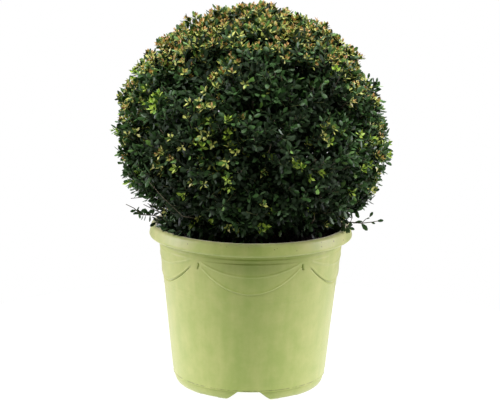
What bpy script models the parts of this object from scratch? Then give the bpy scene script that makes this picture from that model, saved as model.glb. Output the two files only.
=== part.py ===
"""A clipped Japanese holly ball in a plastic container pot, at its real size.

Metres, +Z up. The origin is on the floor under the middle of the pot, and the front is -Y.
The plant is one short stem that forks into boughs, and each bough carries its own mass of
foliage. The masses share out the clipped ball between them, each inside its own flat-sided
space, and two low sprays lean out over the pot's rim.
"""
import math
import random

import bmesh
import bpy
from mathutils import Matrix, Vector, noise

SEED = 7
CLEARANCE = 0.0003          # between solids that touch on the real plant

# Pot: a 15 litre container with a rolled rim, five swags in relief and a notched foot.
POT_SIDES = 60
RIM_WIDEST_RADIUS = 0.1650
RIM_HALF_WIDTH = 0.0080
RIM_MIDDLE_Z = 0.2550
RIM_HALF_HEIGHT = 0.0110
WALL_TOP_Z = 0.2430
WALL_TOP_RADIUS = 0.1494
WALL_FOOT_Z = 0.0182
WALL_FOOT_RADIUS = 0.1242
WALL_THICKNESS = 0.0028
POT_FLOOR_Z = 0.0170        # underside of the pot's floor, above the foot ring
POT_FLOOR_THICKNESS = 0.0030
FOOT_RADIUS = 0.1156        # outer edge of the ring that the pot stands on
FOOT_RING_WIDTH = 0.0040
DRAIN_HOLES = 6
DRAIN_RADIUS = 0.0065
DRAIN_CIRCLE_RADIUS = 0.078

FOOT_SHOULDER = (0.0050, 0.0055)   # out and up from the foot's outer edge
SEAM_STEP = 0.0010          # the small step where the wall meets the foot
RIM_STEPS = (-90, -48, -10, 30, 70, 115, 180)

SWAGS = 5
SWAG_ANGLE = math.tau / SWAGS
SWAG_HALF_ANGLE = math.radians(31.7)
RELIEF = 0.0018
HEM_LOWEST_Z = 0.1810
HEM_RISE = 0.0375           # from the middle of a swag to its end
FOLD_LOWEST_Z = 0.2100
FOLD_RISE = 0.0183
RIB_HEIGHTS = (0.2300, 0.2362)
RIB_HALF_HEIGHT = 0.0014
PLAIN_WALL_TOP_Z = 0.1680   # the wall is plain below this
RELIEF_TOP_Z = 0.2390
HEM_STEPS = ((0.0, 0.0), (0.0018, 1.0), (0.0052, 0.75))    # lift, share of the relief
FOLD_STEPS = ((-0.0035, 0.40), (0.0, 1.0))

FOOT_PARTS = 3              # the foot's pattern repeats this often
NOTCH_HEIGHT = 0.0165
NOTCH_TOP_WIDTH = 0.035
NOTCH_BOTTOM_WIDTH = 0.068
FOOT_RECESS_HEIGHT = 0.0024
FOOT_RECESS_ANGLES = (math.radians(24.5), math.radians(41.0))

# Potting mix
SOIL_SIDES = 30
SOIL_Z = 0.2450
SOIL_LUMP = 0.0030
SOIL_PAD_RADIUS = 0.034     # level ground round the stem
SOIL_RING_SHARES = (0.93, 0.72, 0.48)

# Stem and boughs
STEM_SIDES = 9
STEM_RADIUS = 0.0132
STEM_TAPER = 0.035          # metres of radius lost in each metre of height
STEM_FLARE = 0.0085
STEM_TOP_Z = 0.3020
STEM_LEAN = Vector((0.003, -0.002, 0.0))
STEM_HEIGHT_SHARES = (0.0, 0.10, 0.25, 0.45, 0.70, 1.0)
BOUGH_SIDES = 6
BOUGH_STEPS = 5
BOUGH_ROOT_RADIUS = 0.0046
BOUGH_TIP_RADIUS = 0.0029
BOUGH_ROOT_DROPS = (0.010, 0.022)   # below the stem's top, by turns
BOUGH_TIP = (0.088, 0.382)          # how far out and up the side boughs end
BOUGH_SAG = 0.006
LEADER_ROOT_RADIUS = 0.0058
LEADER_TIP = Vector((0.004, 0.003, 0.450))
LOW_LIMB_RADII = (0.0030, 0.0016)
LOW_LIMB_ROOT_HEIGHT = 0.016        # above the potting mix
LOW_LEFT_TIP = Vector((-0.132, -0.030, 0.2745))
LOW_RIGHT_TIP = Vector((0.134, -0.034, 0.2735))
LOW_LEFT_END = Vector((-0.202, -0.040, 0.2860))
LOW_RIGHT_END = Vector((0.212, -0.046, 0.2760))

# Crown: a clipped ball, drawn in underneath, hollow where the boughs run
CROWN_Z = 0.4025
CROWN_RADIUS = 0.2205
CROWN_REACH = 0.2278        # furthest shoot tips
CORE_RADIUS = 0.1930
CORE_LUMP = 0.0110
CORE_FLOOR_Z = 0.2880
CROWN_FLOOR_Z = 0.2765      # the lowest leaves
SHOOT_FLOOR_Z = 0.2805      # the lowest shoot tips
UNDERCUT_Z = 0.3160         # where the ball starts to draw in
UNDERCUT_RADIUS = 0.2005
UNDERCUT_SLOPE = 1.386
UNDERCUT_CENTRE_X = 0.010
HOLLOW_Z = 0.3620
HOLLOW_RADIUS = 0.1050
SIDE_MASSES = 6
SIDE_TURN = math.radians(8.0)
TOP_APEX_Z = 0.3400
TOP_HALF_ANGLE = math.radians(38.0)
MASS_GAP = 0.0010           # between neighbours
EDGE_SHARE = 0.009          # shoots keep this far from their space's flat sides
BARE_RADIUS = 0.085         # no shoots hang down nearer the stem than this

# Twigs and leaves
SHOOTS_ON_FULL_BALL = 132
HUBS_ON_FULL_BALL = 34
HUB_RADIUS = 0.152
MASS_STEM_LENGTH = 0.055
SHOOT_LENGTH = 0.046
SHOOT_RISE = 0.45           # how far shoots turn up from straight out
TWIG_SIDES = 3
BRANCHLET_RADIUS = 0.0026
SHOOT_RADIUS = 0.0015
SPRAY_TWIG_RADIUS = 0.0009
SPRAY_TWIGS = 4
LEAVES_ON_SHOOT = 5
LEAF_OUTLINE = ((0.0, 0.0), (0.52, 0.5), (0.96, 0.17), (0.96, -0.17), (0.52, -0.5))
# What a leaf that doesn't fit tries in turn: degrees more open, and a smaller size.
LEAF_TRIES = ((0.0, 1.0), (18.0, 0.95), (34.0, 0.88), (20.0, 0.72), (50.0, 0.72))
LEAF_LENGTH = 0.043
LEAF_WIDTH = 0.0245
LEAF_ARCH = 0.0024
SPRAY_LEAF_LENGTH = 0.024
SPRAY_LEAF_WIDTH = 0.013
GOLDEN_ANGLE = math.pi * (3.0 - math.sqrt(5.0))

LEAF_GREEN = (0.060, 0.125, 0.045)
BARK_BROWN = (0.200, 0.150, 0.100)


# ---------------------------------------------------------------- helpers
def clear_scene():
    for old in list(bpy.data.objects):
        bpy.data.objects.remove(old, do_unlink=True)


def material(name, colour, roughness):
    made = bpy.data.materials.new(name)
    made.use_nodes = True
    shader = made.node_tree.nodes["Principled BSDF"]
    shader.inputs["Base Color"].default_value = (*colour, 1.0)
    shader.inputs["Roughness"].default_value = roughness
    shader.inputs["Metallic"].default_value = 0.0
    made.diffuse_color = (*colour, 1.0)
    return made


def add_object(name, bm, finish=None, collection=None, smooth=False):
    """Turn a bmesh into a named object, with its faces pointing out."""
    bmesh.ops.recalc_face_normals(bm, faces=bm.faces[:])
    mesh = bpy.data.meshes.new(name)
    bm.to_mesh(mesh)
    bm.free()
    if smooth:
        mesh.shade_smooth()
        mesh.set_sharp_from_angle(angle=math.radians(38.0))
    if finish is not None:
        mesh.materials.append(finish)
    made = bpy.data.objects.new(name, mesh)
    (collection or bpy.context.scene.collection).objects.link(made)
    return made


def apply_boolean(target, operation, other, solver="EXACT"):
    """Cut, join or intersect target with an object or a collection, and keep the result."""
    step = target.modifiers.new("Boolean", "BOOLEAN")
    step.operation = operation
    step.solver = solver
    if isinstance(other, bpy.types.Collection):
        step.operand_type = "COLLECTION"
        step.collection = other
    else:
        step.object = other
    graph = bpy.context.evaluated_depsgraph_get()
    mesh = bpy.data.meshes.new_from_object(target.evaluated_get(graph))
    target.modifiers.clear()
    target.data = mesh


def remove_objects(objects):
    for made in list(objects):
        bpy.data.objects.remove(made, do_unlink=True)


def around(radius, angle, z):
    """A point at an angle from the front, turning towards +X."""
    return Vector((radius * math.sin(angle), -radius * math.cos(angle), z))


def skin(rings, close_start=True, close_end=True):
    """Join rings of points, all with the same count, into one closed surface."""
    bm = bmesh.new()
    loops = [[bm.verts.new(point) for point in ring] for ring in rings]
    count = len(loops[0])
    for low, high in zip(loops, loops[1:]):
        for i in range(count):
            j = (i + 1) % count
            bm.faces.new((low[i], low[j], high[j], high[i]))
    if close_start:
        bm.faces.new(loops[0][::-1])
    if close_end:
        bm.faces.new(loops[-1])
    return bm


def limb(points, radii, sides, lobes=None):
    """A tapering limb along points, cut square at both ends."""
    rings = []
    side = None
    for i, point in enumerate(points):
        before = points[max(i - 1, 0)]
        after = points[min(i + 1, len(points) - 1)]
        along = (after - before).normalized()
        if side is None:
            side = along.orthogonal().normalized()
        side = (side - along * side.dot(along)).normalized()
        across = along.cross(side)
        ring = []
        for k in range(sides):
            turn = math.tau * k / sides
            reach = radii[i] + (lobes(i, turn) if lobes else 0.0)
            ring.append(point + reach * (side * math.cos(turn) + across * math.sin(turn)))
        rings.append(ring)
    return skin(rings)


def bend(start, end, bulge, steps):
    """Points on a smooth arc from start to end that bows by the vector bulge."""
    points = []
    for i in range(steps + 1):
        t = i / steps
        points.append(start.lerp(end, t) + bulge * (4.0 * t * (1.0 - t)))
    return points


def taper(start, end, steps):
    return [start + (end - start) * i / steps for i in range(steps + 1)]


# ---------------------------------------------------------------- pot
def wall_radius(z):
    share = (z - WALL_FOOT_Z) / (WALL_TOP_Z - WALL_FOOT_Z)
    return WALL_FOOT_RADIUS + share * (WALL_TOP_RADIUS - WALL_FOOT_RADIUS)


def swag_place(angle):
    """Where an angle lies in its swag: 0 in the middle, 1 at the end, more in the gap."""
    offset = (angle + SWAG_ANGLE / 2) % SWAG_ANGLE - SWAG_ANGLE / 2
    return abs(offset) / SWAG_HALF_ANGLE


def swag_row(lowest, rise, lift, relief):
    """A row of the wall that hangs like the swags, lifted above that line and raised."""
    def row(angle):
        place = swag_place(angle)
        z = lowest + rise * min(place, 1.0) ** 2 + lift
        raised = relief * RELIEF if place < 1.0 else 0.0
        return wall_radius(z) + raised, z
    return row


def level_row(radius, z):
    return lambda angle: (radius, z)


def pot_rows():
    """The pot's whole skin as rows of points, from under the floor to the inner floor."""
    foot_inner = FOOT_RADIUS - FOOT_RING_WIDTH
    rows = [
        level_row(foot_inner + FOOT_SHOULDER[0], POT_FLOOR_Z),
        level_row(foot_inner, 0.0),
        level_row(FOOT_RADIUS, 0.0),
        level_row(FOOT_RADIUS + FOOT_SHOULDER[0], FOOT_SHOULDER[1]),
        level_row(WALL_FOOT_RADIUS - SEAM_STEP, WALL_FOOT_Z - SEAM_STEP),
        level_row(WALL_FOOT_RADIUS, WALL_FOOT_Z),
        level_row(wall_radius(PLAIN_WALL_TOP_Z), PLAIN_WALL_TOP_Z),
    ]
    rows += [swag_row(HEM_LOWEST_Z, HEM_RISE, lift, share) for lift, share in HEM_STEPS]
    rows += [swag_row(FOLD_LOWEST_Z, FOLD_RISE, lift, share) for lift, share in FOLD_STEPS]
    for rib_z in RIB_HEIGHTS:
        rows.append(level_row(wall_radius(rib_z) + 0.3 * RELIEF, rib_z - RIB_HALF_HEIGHT))
        rows.append(level_row(wall_radius(rib_z) + RELIEF, rib_z))
    rows.append(level_row(wall_radius(RELIEF_TOP_Z), RELIEF_TOP_Z))
    rows.append(level_row(WALL_TOP_RADIUS, WALL_TOP_Z))
    rim_middle = RIM_WIDEST_RADIUS - RIM_HALF_WIDTH
    for degrees in RIM_STEPS:
        t = math.radians(degrees)
        rows.append(level_row(rim_middle + RIM_HALF_WIDTH * math.cos(t),
                              RIM_MIDDLE_Z + RIM_HALF_HEIGHT * math.sin(t)))
    inner_floor = POT_FLOOR_Z + POT_FLOOR_THICKNESS
    rows.append(level_row(WALL_TOP_RADIUS - WALL_THICKNESS, WALL_TOP_Z))
    rows.append(level_row(wall_radius(inner_floor) - WALL_THICKNESS, inner_floor))
    return rows


def foot_cutters(into):
    """Trapezoid notches, and the shallow recesses beside them, round the foot ring."""
    inner, outer, below = FOOT_RADIUS - 0.018, WALL_FOOT_RADIUS + 0.016, -0.010
    spread = (NOTCH_BOTTOM_WIDTH - NOTCH_TOP_WIDTH) / 2
    wide = NOTCH_BOTTOM_WIDTH / 2 - spread * below / NOTCH_HEIGHT
    narrow = NOTCH_TOP_WIDTH / 2
    for part in range(FOOT_PARTS):
        turn = math.tau * part / FOOT_PARTS
        rings = []
        for reach in (inner, outer):
            corners = ((-wide, below), (wide, below), (narrow, NOTCH_HEIGHT), (-narrow, NOTCH_HEIGHT))
            rings.append([Matrix.Rotation(turn, 3, "Z") @ Vector((x, -reach, z)) for x, z in corners])
        add_object(f"notch_cutter_{part}", skin(rings), collection=into)
        for side in (-1, 1):
            angles = [turn + side * angle for angle in FOOT_RECESS_ANGLES]
            rings = [[around(reach, angle, z) for reach, angle in
                      ((inner, angles[0]), (outer, angles[0]), (outer, angles[1]), (inner, angles[1]))]
                     for z in (below, FOOT_RECESS_HEIGHT)]
            add_object(f"recess_cutter_{part}_{side + 1}", skin(rings), collection=into)


def drain_cutters(into):
    for hole in range(DRAIN_HOLES):
        middle = around(DRAIN_CIRCLE_RADIUS, math.tau * (hole + 0.5) / DRAIN_HOLES, 0.0)
        top = middle + Vector((0.0, 0.0, POT_FLOOR_Z + POT_FLOOR_THICKNESS + 0.010))
        add_object(f"drain_cutter_{hole}", limb([middle, top], [DRAIN_RADIUS] * 2, 10), collection=into)


def make_pot(finish):
    rings = []
    for row in pot_rows():
        ring = []
        for i in range(POT_SIDES):
            angle = math.tau * i / POT_SIDES
            radius, z = row(angle)
            ring.append(around(radius, angle, z))
        rings.append(ring)
    pot = add_object("pot", skin(rings), finish)
    cutters = bpy.data.collections.new("pot_cutters")
    bpy.context.scene.collection.children.link(cutters)
    foot_cutters(cutters)
    drain_cutters(cutters)
    apply_boolean(pot, "DIFFERENCE", cutters)
    remove_objects(cutters.objects)
    pot.data.shade_smooth()
    pot.data.set_sharp_from_angle(angle=math.radians(38.0))
    return pot


# ---------------------------------------------------------------- potting mix
def make_soil(finish):
    """The mix fills the pot, heaped a little unevenly and level round the stem."""
    inside = CLEARANCE / math.cos(math.pi / POT_SIDES) + WALL_THICKNESS
    floor = POT_FLOOR_Z + POT_FLOOR_THICKNESS + CLEARANCE
    rings = []

    def ring_at(radius, height):
        ring = []
        for i in range(SOIL_SIDES):
            point = around(radius, math.tau * i / SOIL_SIDES, 0.0)
            point.z = height(point)
            ring.append(point)
        return ring

    def surface(point):
        away = min(max((point.length - SOIL_PAD_RADIUS) / 0.03, 0.0), 1.0)
        return SOIL_Z + away * SOIL_LUMP * noise.noise(point * 38.0 + Vector((SEED, 0.0, 0.0)))

    edge_z = SOIL_Z - SOIL_LUMP
    rings.append(ring_at(wall_radius(floor) - inside, lambda point: floor))
    rings.append(ring_at(wall_radius(edge_z) - inside, lambda point: edge_z))
    for share in SOIL_RING_SHARES:
        rings.append(ring_at(wall_radius(SOIL_Z) * share, surface))
    rings.append(ring_at(SOIL_PAD_RADIUS, surface))
    return add_object("potting_mix", skin(rings), finish)


# ---------------------------------------------------------------- stem and boughs
def stem_middle(z):
    share = (z - SOIL_Z) / (STEM_TOP_Z - SOIL_Z)
    return Vector((0.0, 0.0, z)) + STEM_LEAN * share


def stem_bmesh(swell):
    """The stem from its flat foot to its fork, swollen by a little for a clearance cutter."""
    heights = [SOIL_Z + CLEARANCE + (STEM_TOP_Z - SOIL_Z) * share
               for share in STEM_HEIGHT_SHARES]
    flare = [STEM_FLARE * math.exp(-(z - SOIL_Z) / 0.010) for z in heights]
    radii = [STEM_RADIUS - STEM_TAPER * (z - SOIL_Z) + wide + swell for z, wide in zip(heights, flare)]
    if swell:
        heights[0] -= swell
        heights[-1] += swell

    def lobes(i, turn):
        return 0.35 * flare[i] * math.cos(3 * turn + 0.8)

    points = [stem_middle(z) for z in heights]
    rings = []
    for i, point in enumerate(points):
        rings.append([])
        for k in range(STEM_SIDES):
            turn = math.tau * k / STEM_SIDES
            rings[-1].append(point + around(radii[i] + lobes(i, turn), turn, 0.0))
    return skin(rings)


def side_angle(k):
    return SIDE_TURN + math.tau * k / SIDE_MASSES


def limb_plans():
    """Each limb's name, root, tip, bow and end radii, from the fork outwards."""
    plans = []
    for k in range(SIDE_MASSES):
        root = stem_middle(STEM_TOP_Z - BOUGH_ROOT_DROPS[k % 2]) + around(0.004, side_angle(k), 0.0)
        tip = around(BOUGH_TIP[0], side_angle(k) + 0.10 * (-1) ** k, BOUGH_TIP[1])
        plans.append((f"side_{k + 1}", root, tip, Vector((0.0, 0.0, -BOUGH_SAG)),
                      (BOUGH_ROOT_RADIUS, BOUGH_TIP_RADIUS)))
    plans.append(("top", stem_middle(STEM_TOP_Z - 0.004), LEADER_TIP, Vector((BOUGH_SAG, 0.0, 0.0)),
                  (LEADER_ROOT_RADIUS, BOUGH_TIP_RADIUS)))
    low_root = stem_middle(SOIL_Z + LOW_LIMB_ROOT_HEIGHT)
    low_bow = Vector((0.0, 0.009, -0.002))
    plans.append(("low_left", low_root, LOW_LEFT_TIP, low_bow, LOW_LIMB_RADII))
    plans.append(("low_right", low_root, LOW_RIGHT_TIP, low_bow, LOW_LIMB_RADII))
    return plans


def make_limbs(finish):
    """The stem, and the limbs cut clear of it. Returns each limb's end, heading and radius."""
    add_object("stem", stem_bmesh(0.0), finish)
    clear_stem = add_object("stem_clearance", stem_bmesh(CLEARANCE), finish)
    tips = {}
    for name, root, tip, bow, (root_radius, tip_radius) in limb_plans():
        points = bend(root, tip, bow, BOUGH_STEPS)
        radii = taper(root_radius, tip_radius, BOUGH_STEPS)
        bough = add_object(f"bough_{name}", limb(points, radii, BOUGH_SIDES), finish)
        apply_boolean(bough, "DIFFERENCE", clear_stem)
        tips[name] = (points[-1], (points[-1] - points[-2]).normalized(), tip_radius)
    remove_objects([clear_stem])
    return tips


# ---------------------------------------------------------------- the crown's spaces
def crown_planes(name):
    """The flat sides of a mass's space: each is a point and a normal that points inwards."""
    apex = Vector((0.0, 0.0, TOP_APEX_Z))
    half = math.pi / SIDE_MASSES
    planes = []
    for k in range(SIDE_MASSES):
        outward = around(1.0, side_angle(k), 0.0)
        away = outward * math.cos(TOP_HALF_ANGLE) - Vector((0.0, 0.0, math.sin(TOP_HALF_ANGLE)))
        if name == "top":
            planes.append((apex, -away))
        elif name == f"side_{k + 1}":
            planes.append((apex, away))
            for side in (-1, 1):
                edge = side_angle(k) + side * half
                planes.append((Vector(), -side * around(1.0, edge + math.pi / 2, 0.0)))
    return planes


def depth_in_planes(planes, point):
    return min((point - where).dot(normal) for where, normal in planes)


def depth_in_ball(point, reach):
    """How deep a point lies inside the clipped ball: its sphere, its undercut and its floor."""
    sphere = reach - (point - Vector((0.0, 0.0, CROWN_Z))).length
    grow = min(reach - CROWN_RADIUS, 0.004)
    radius = math.hypot(point.x - UNDERCUT_CENTRE_X, point.y)
    cone = UNDERCUT_RADIUS + grow + UNDERCUT_SLOPE * (point.z - UNDERCUT_Z) - radius
    return min(sphere, cone / math.hypot(1.0, UNDERCUT_SLOPE), point.z - CROWN_FLOOR_Z)


def outline_point(direction, reach):
    """Where a ray from the ball's middle leaves the clipped ball."""
    middle = Vector((0.0, 0.0, CROWN_Z))
    low, high = 0.0, CROWN_REACH * 1.2
    for _ in range(24):
        half = (low + high) / 2
        if depth_in_ball(middle + direction * half, reach) > 0.0:
            low = half
        else:
            high = half
    return middle + direction * low


def spread_directions(count):
    """Directions spread evenly over a ball, along a spiral."""
    for i in range(count):
        z = 1.0 - 2.0 * (i + 0.5) / count
        ring = math.sqrt(1.0 - z * z)
        angle = i * GOLDEN_ANGLE
        yield Vector((ring * math.cos(angle), ring * math.sin(angle), z))


# ---------------------------------------------------------------- cores
def core_ball():
    bm = bmesh.new()
    bmesh.ops.create_icosphere(bm, subdivisions=3, radius=1.0)
    for vert in bm.verts:
        direction = vert.co.normalized()
        lump = CORE_LUMP * noise.noise(direction * 4.3 + Vector((SEED, 2.0, 5.0)))
        point = outline_point(direction, CORE_RADIUS + lump)
        point.z = max(point.z, CORE_FLOOR_Z)
        vert.co = point
    return add_object("core_ball", bm)


def hollow_ball():
    bm = bmesh.new()
    bmesh.ops.create_icosphere(bm, subdivisions=2, radius=HOLLOW_RADIUS,
                               matrix=Matrix.Translation((0.0, 0.0, HOLLOW_Z)))
    return add_object("hollow_ball", bm)


def top_block():
    """The top mass's space: a pyramid that stands on its point, with a side to each neighbour."""
    apex = Vector((0.0, 0.0, TOP_APEX_Z + MASS_GAP / 2 / math.sin(TOP_HALF_ANGLE)))
    height = 0.40
    half = math.pi / SIDE_MASSES
    corner_radius = height * math.tan(TOP_HALF_ANGLE) / math.cos(half)
    bm = bmesh.new()
    tip = bm.verts.new(apex)
    ring = [bm.verts.new(apex + around(corner_radius, side_angle(k) + half, height))
            for k in range(SIDE_MASSES)]
    for k, vert in enumerate(ring):
        bm.faces.new((tip, vert, ring[(k + 1) % SIDE_MASSES]))
    bm.faces.new(ring)
    return add_object("space_top", bm)


def space_block(name):
    """A mass's space as a solid block, a little inside its planes, to cut its core from."""
    if name == "top":
        return top_block()
    bm = bmesh.new()
    bmesh.ops.create_cube(bm, size=1.2, matrix=Matrix.Translation((0.0, 0.0, CROWN_Z)))
    for where, normal in crown_planes(name):
        cut = bmesh.ops.bisect_plane(bm, geom=bm.verts[:] + bm.edges[:] + bm.faces[:], dist=1e-7,
                                     plane_co=where + normal * MASS_GAP / 2, plane_no=normal,
                                     clear_inner=True)
        edges = [item for item in cut["geom_cut"] if isinstance(item, bmesh.types.BMEdge)]
        bmesh.ops.edgeloop_fill(bm, edges=edges)
    return add_object(f"space_{name}", bm)


# ---------------------------------------------------------------- twigs and leaves
def leaf_bmesh(root, along, up, length, width):
    """An oval leaf of eight faces: a five-sided blade with a low arch along its middle."""
    across = along.cross(up).normalized()
    up = across.cross(along).normalized()
    bm = bmesh.new()
    edge = [bm.verts.new(root + along * (s * length) + across * (w * width))
            for s, w in LEAF_OUTLINE]
    crest = bm.verts.new(root + along * (0.55 * length) + up * LEAF_ARCH)
    for i, vert in enumerate(edge):
        bm.faces.new((vert, edge[(i + 1) % len(edge)], crest))
    bm.faces.new(edge[::-1])
    return bm


def shoot_leaves(rng, base, tip, count, length, width, inside, into, label):
    """Leaves in a spiral up a shoot, each rooted on the shoot's middle line.

    A leaf that would leave its mass's space opens wider or shrinks, and is else skipped.
    """
    along = (tip - base).normalized()
    side = along.orthogonal().normalized()
    turn = rng.uniform(0.0, math.tau)
    made = 0
    for i in range(count):
        share = 0.30 + 0.62 * i / max(count - 1, 1)
        root = base.lerp(tip, share)
        opening = rng.uniform(58.0, 74.0) - 18.0 * share
        turn += GOLDEN_ANGLE + rng.uniform(-0.3, 0.3)
        out = Matrix.Rotation(turn, 3, along) @ side
        size = rng.uniform(0.88, 1.10)
        for more_open, shrink in LEAF_TRIES:
            angle = math.radians(opening + more_open)
            leaf_along = (along * math.cos(angle) + out * math.sin(angle)).normalized()
            blade = leaf_bmesh(root, leaf_along, along, length * size * shrink, width * size * shrink)
            if all(inside(vert.co) for vert in blade.verts):
                add_object(f"{label}_leaf_{i}", blade, collection=into)
                made += 1
                break
            blade.free()
    return made


def keep_one_body(target):
    """Drop loose scraps and the walls of any hollow that the joining sealed."""
    bm = bmesh.new()
    bm.from_mesh(target.data)
    groups = []
    left = set(bm.faces)
    while left:
        group = [left.pop()]
        for face in group:
            for edge in face.edges:
                for other in edge.link_faces:
                    if other in left:
                        left.remove(other)
                        group.append(other)
        groups.append(group)
    groups.sort(key=len, reverse=True)
    scraps = [face for group in groups[1:] for face in group]
    bmesh.ops.delete(bm, geom=scraps, context="FACES")
    bmesh.ops.triangulate(bm, faces=bm.faces[:])
    bm.to_mesh(target.data)
    bm.free()


def fuse(target, parts, finish):
    """One union of the target with everything in a collection, whose objects then go."""
    apply_boolean(target, "UNION", parts, solver="MANIFOLD")
    remove_objects(parts.objects)
    bpy.data.collections.remove(parts)
    keep_one_body(target)
    target.data.materials.clear()
    target.data.materials.append(finish)


def make_mass(name, bough_tip, ball, hollow, finish):
    """One mass: its core, its stem from the bough's tip, hubs, shoots and leaves."""
    rng = random.Random(f"{SEED} {name}")
    planes = crown_planes(name)
    core = space_block(name)
    core.name = f"foliage_{name}"
    apply_boolean(core, "INTERSECT", ball)
    apply_boolean(core, "DIFFERENCE", hollow)
    parts = bpy.data.collections.new(f"parts_{name}")
    bpy.context.scene.collection.children.link(parts)

    def inside(point):
        return depth_in_planes(planes, point) > MASS_GAP / 2 and depth_in_ball(point, CROWN_REACH) > 0.0

    tip, along, radius = bough_tip
    start = tip + along * CLEARANCE
    stem_end = start + along * MASS_STEM_LENGTH
    add_object(f"{name}_stem", limb([start, stem_end], [radius, radius * 0.8], BOUGH_SIDES),
               collection=parts)
    hubs = []
    for direction in spread_directions(HUBS_ON_FULL_BALL):
        place = Vector((0.0, 0.0, CROWN_Z)) + direction * HUB_RADIUS
        if depth_in_planes(planes, place) > EDGE_SHARE and place.z > CORE_FLOOR_Z + EDGE_SHARE:
            hubs.append(place)
            add_object(f"{name}_branchlet_{len(hubs)}",
                       limb([stem_end - along * 2 * radius, place + direction * SHOOT_RADIUS],
                            [BRANCHLET_RADIUS, SHOOT_RADIUS * 1.2], TWIG_SIDES), collection=parts)
    leaves = 0
    shoots = 0
    for direction in spread_directions(SHOOTS_ON_FULL_BALL):
        shoot_tip = outline_point(direction, CROWN_RADIUS - rng.uniform(0.000, 0.010))
        if depth_in_planes(planes, shoot_tip) < 0.0:
            continue
        for where, normal in planes:
            shoot_tip += normal * max(EDGE_SHARE - (shoot_tip - where).dot(normal), 0.0)
        under_hollow = math.hypot(shoot_tip.x, shoot_tip.y) < BARE_RADIUS and shoot_tip.z < CROWN_Z
        if under_hollow or shoot_tip.z < SHOOT_FLOOR_Z or not inside(shoot_tip):
            continue
        heading = (direction + Vector((0.0, 0.0, SHOOT_RISE))).normalized()
        base = shoot_tip - heading * SHOOT_LENGTH
        hub = min(hubs, key=lambda place: (place - base).length)
        shoots += 1
        add_object(f"{name}_shoot_{shoots}",
                   limb([hub, base, shoot_tip], [SHOOT_RADIUS * 1.2, SHOOT_RADIUS, SHOOT_RADIUS * 0.5],
                        TWIG_SIDES), collection=parts)
        leaves += shoot_leaves(rng, base, shoot_tip, LEAVES_ON_SHOOT, LEAF_LENGTH, LEAF_WIDTH,
                               inside, parts, f"{name}_{shoots}")
    fuse(core, parts, finish)
    print(f"foliage_{name}: {shoots} shoots, {leaves} leaves, {len(core.data.polygons)} triangles")
    return core


def make_spray(name, limb_tip, end, finish):
    """A low open spray: one stem on from its limb, side twigs and leaves, with no core."""
    rng = random.Random(f"{SEED} {name}")
    tip, along, radius = limb_tip
    start = tip + along * CLEARANCE
    points = bend(start, end, Vector((0.0, 0.0, 0.003)), 4)
    points[1] = start + along * (points[1] - start).length
    radii = taper(radius, SHOOT_RADIUS * 0.5, 4)
    stem = add_object(f"foliage_{name}", limb(points, radii, 4))
    parts = bpy.data.collections.new(f"parts_{name}")
    bpy.context.scene.collection.children.link(parts)

    def inside(point):
        over_rim = math.hypot(point.x, point.y) < RIM_WIDEST_RADIUS + 0.010
        floor = RIM_MIDDLE_Z + RIM_HALF_HEIGHT + 0.0025 if over_rim else WALL_TOP_Z
        return (depth_in_ball(point, CROWN_REACH) < -0.0015 and point.z > floor
                and math.hypot(point.x, point.y) < CROWN_REACH - 0.004)

    leaves = 0
    for i in range(SPRAY_TWIGS):
        share = 0.35 + 0.55 * i / (SPRAY_TWIGS - 1)
        step = share * 4
        root = points[int(step)].lerp(points[int(step) + 1], step - int(step))
        heading = (points[int(step) + 1] - points[int(step)]).normalized()
        sideways = heading.cross(Vector((0.0, 0.0, 1.0))).normalized() * (-1) ** i
        way = (heading * 0.75 + sideways * 0.6 + Vector((0.0, 0.0, rng.uniform(0.0, 0.15)))).normalized()
        twig_tip = root + way * rng.uniform(0.022, 0.028)
        if not inside(twig_tip):
            continue
        radii = [SPRAY_TWIG_RADIUS, SPRAY_TWIG_RADIUS / 2]
        add_object(f"{name}_twig_{i}", limb([root, twig_tip], radii, TWIG_SIDES), collection=parts)
        leaves += shoot_leaves(rng, root, twig_tip, 3, SPRAY_LEAF_LENGTH, SPRAY_LEAF_WIDTH,
                               inside, parts, f"{name}_{i}")
    leaves += shoot_leaves(rng, points[2], points[4], 5, SPRAY_LEAF_LENGTH, SPRAY_LEAF_WIDTH,
                           inside, parts, f"{name}_end")
    fuse(stem, parts, finish)
    print(f"foliage_{name}: {leaves} leaves, {len(stem.data.polygons)} triangles")
    return stem


# ---------------------------------------------------------------- the whole plant
def make_plant():
    clear_scene()
    plastic = material("pot_plastic", (0.38, 0.46, 0.17), 0.42)
    soil = material("potting_mix", (0.045, 0.032, 0.024), 0.95)
    bark = material("bark", BARK_BROWN, 0.85)
    foliage = material("foliage", LEAF_GREEN, 0.45)
    make_pot(plastic)
    make_soil(soil)
    tips = make_limbs(bark)
    ball = core_ball()
    hollow = hollow_ball()
    for name in [f"side_{k + 1}" for k in range(SIDE_MASSES)] + ["top"]:
        make_mass(name, tips[name], ball, hollow, foliage)
    remove_objects([ball, hollow])
    make_spray("low_left", tips["low_left"], LOW_LEFT_END, foliage)
    make_spray("low_right", tips["low_right"], LOW_RIGHT_END, foliage)
    total = sum(len(made.data.polygons) for made in bpy.data.objects if made.type == "MESH")
    print(f"{len(bpy.data.objects)} objects, {total} faces")


make_plant()
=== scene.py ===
# %% [markdown]
# # A clipped holly ball in a plastic pot
# The plant is a dense ball of very small glossy leaves on a short stem, in a pistachio green
# pot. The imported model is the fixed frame: it says where every limb ends and how far the crown
# reaches. Everything here is made in that frame, in metres, with +Z up and the front at -Y.

# %% Load the frame
import math
import random

import bmesh
import bpy
import numpy as np
from mathutils import Matrix, Vector, noise


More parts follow.
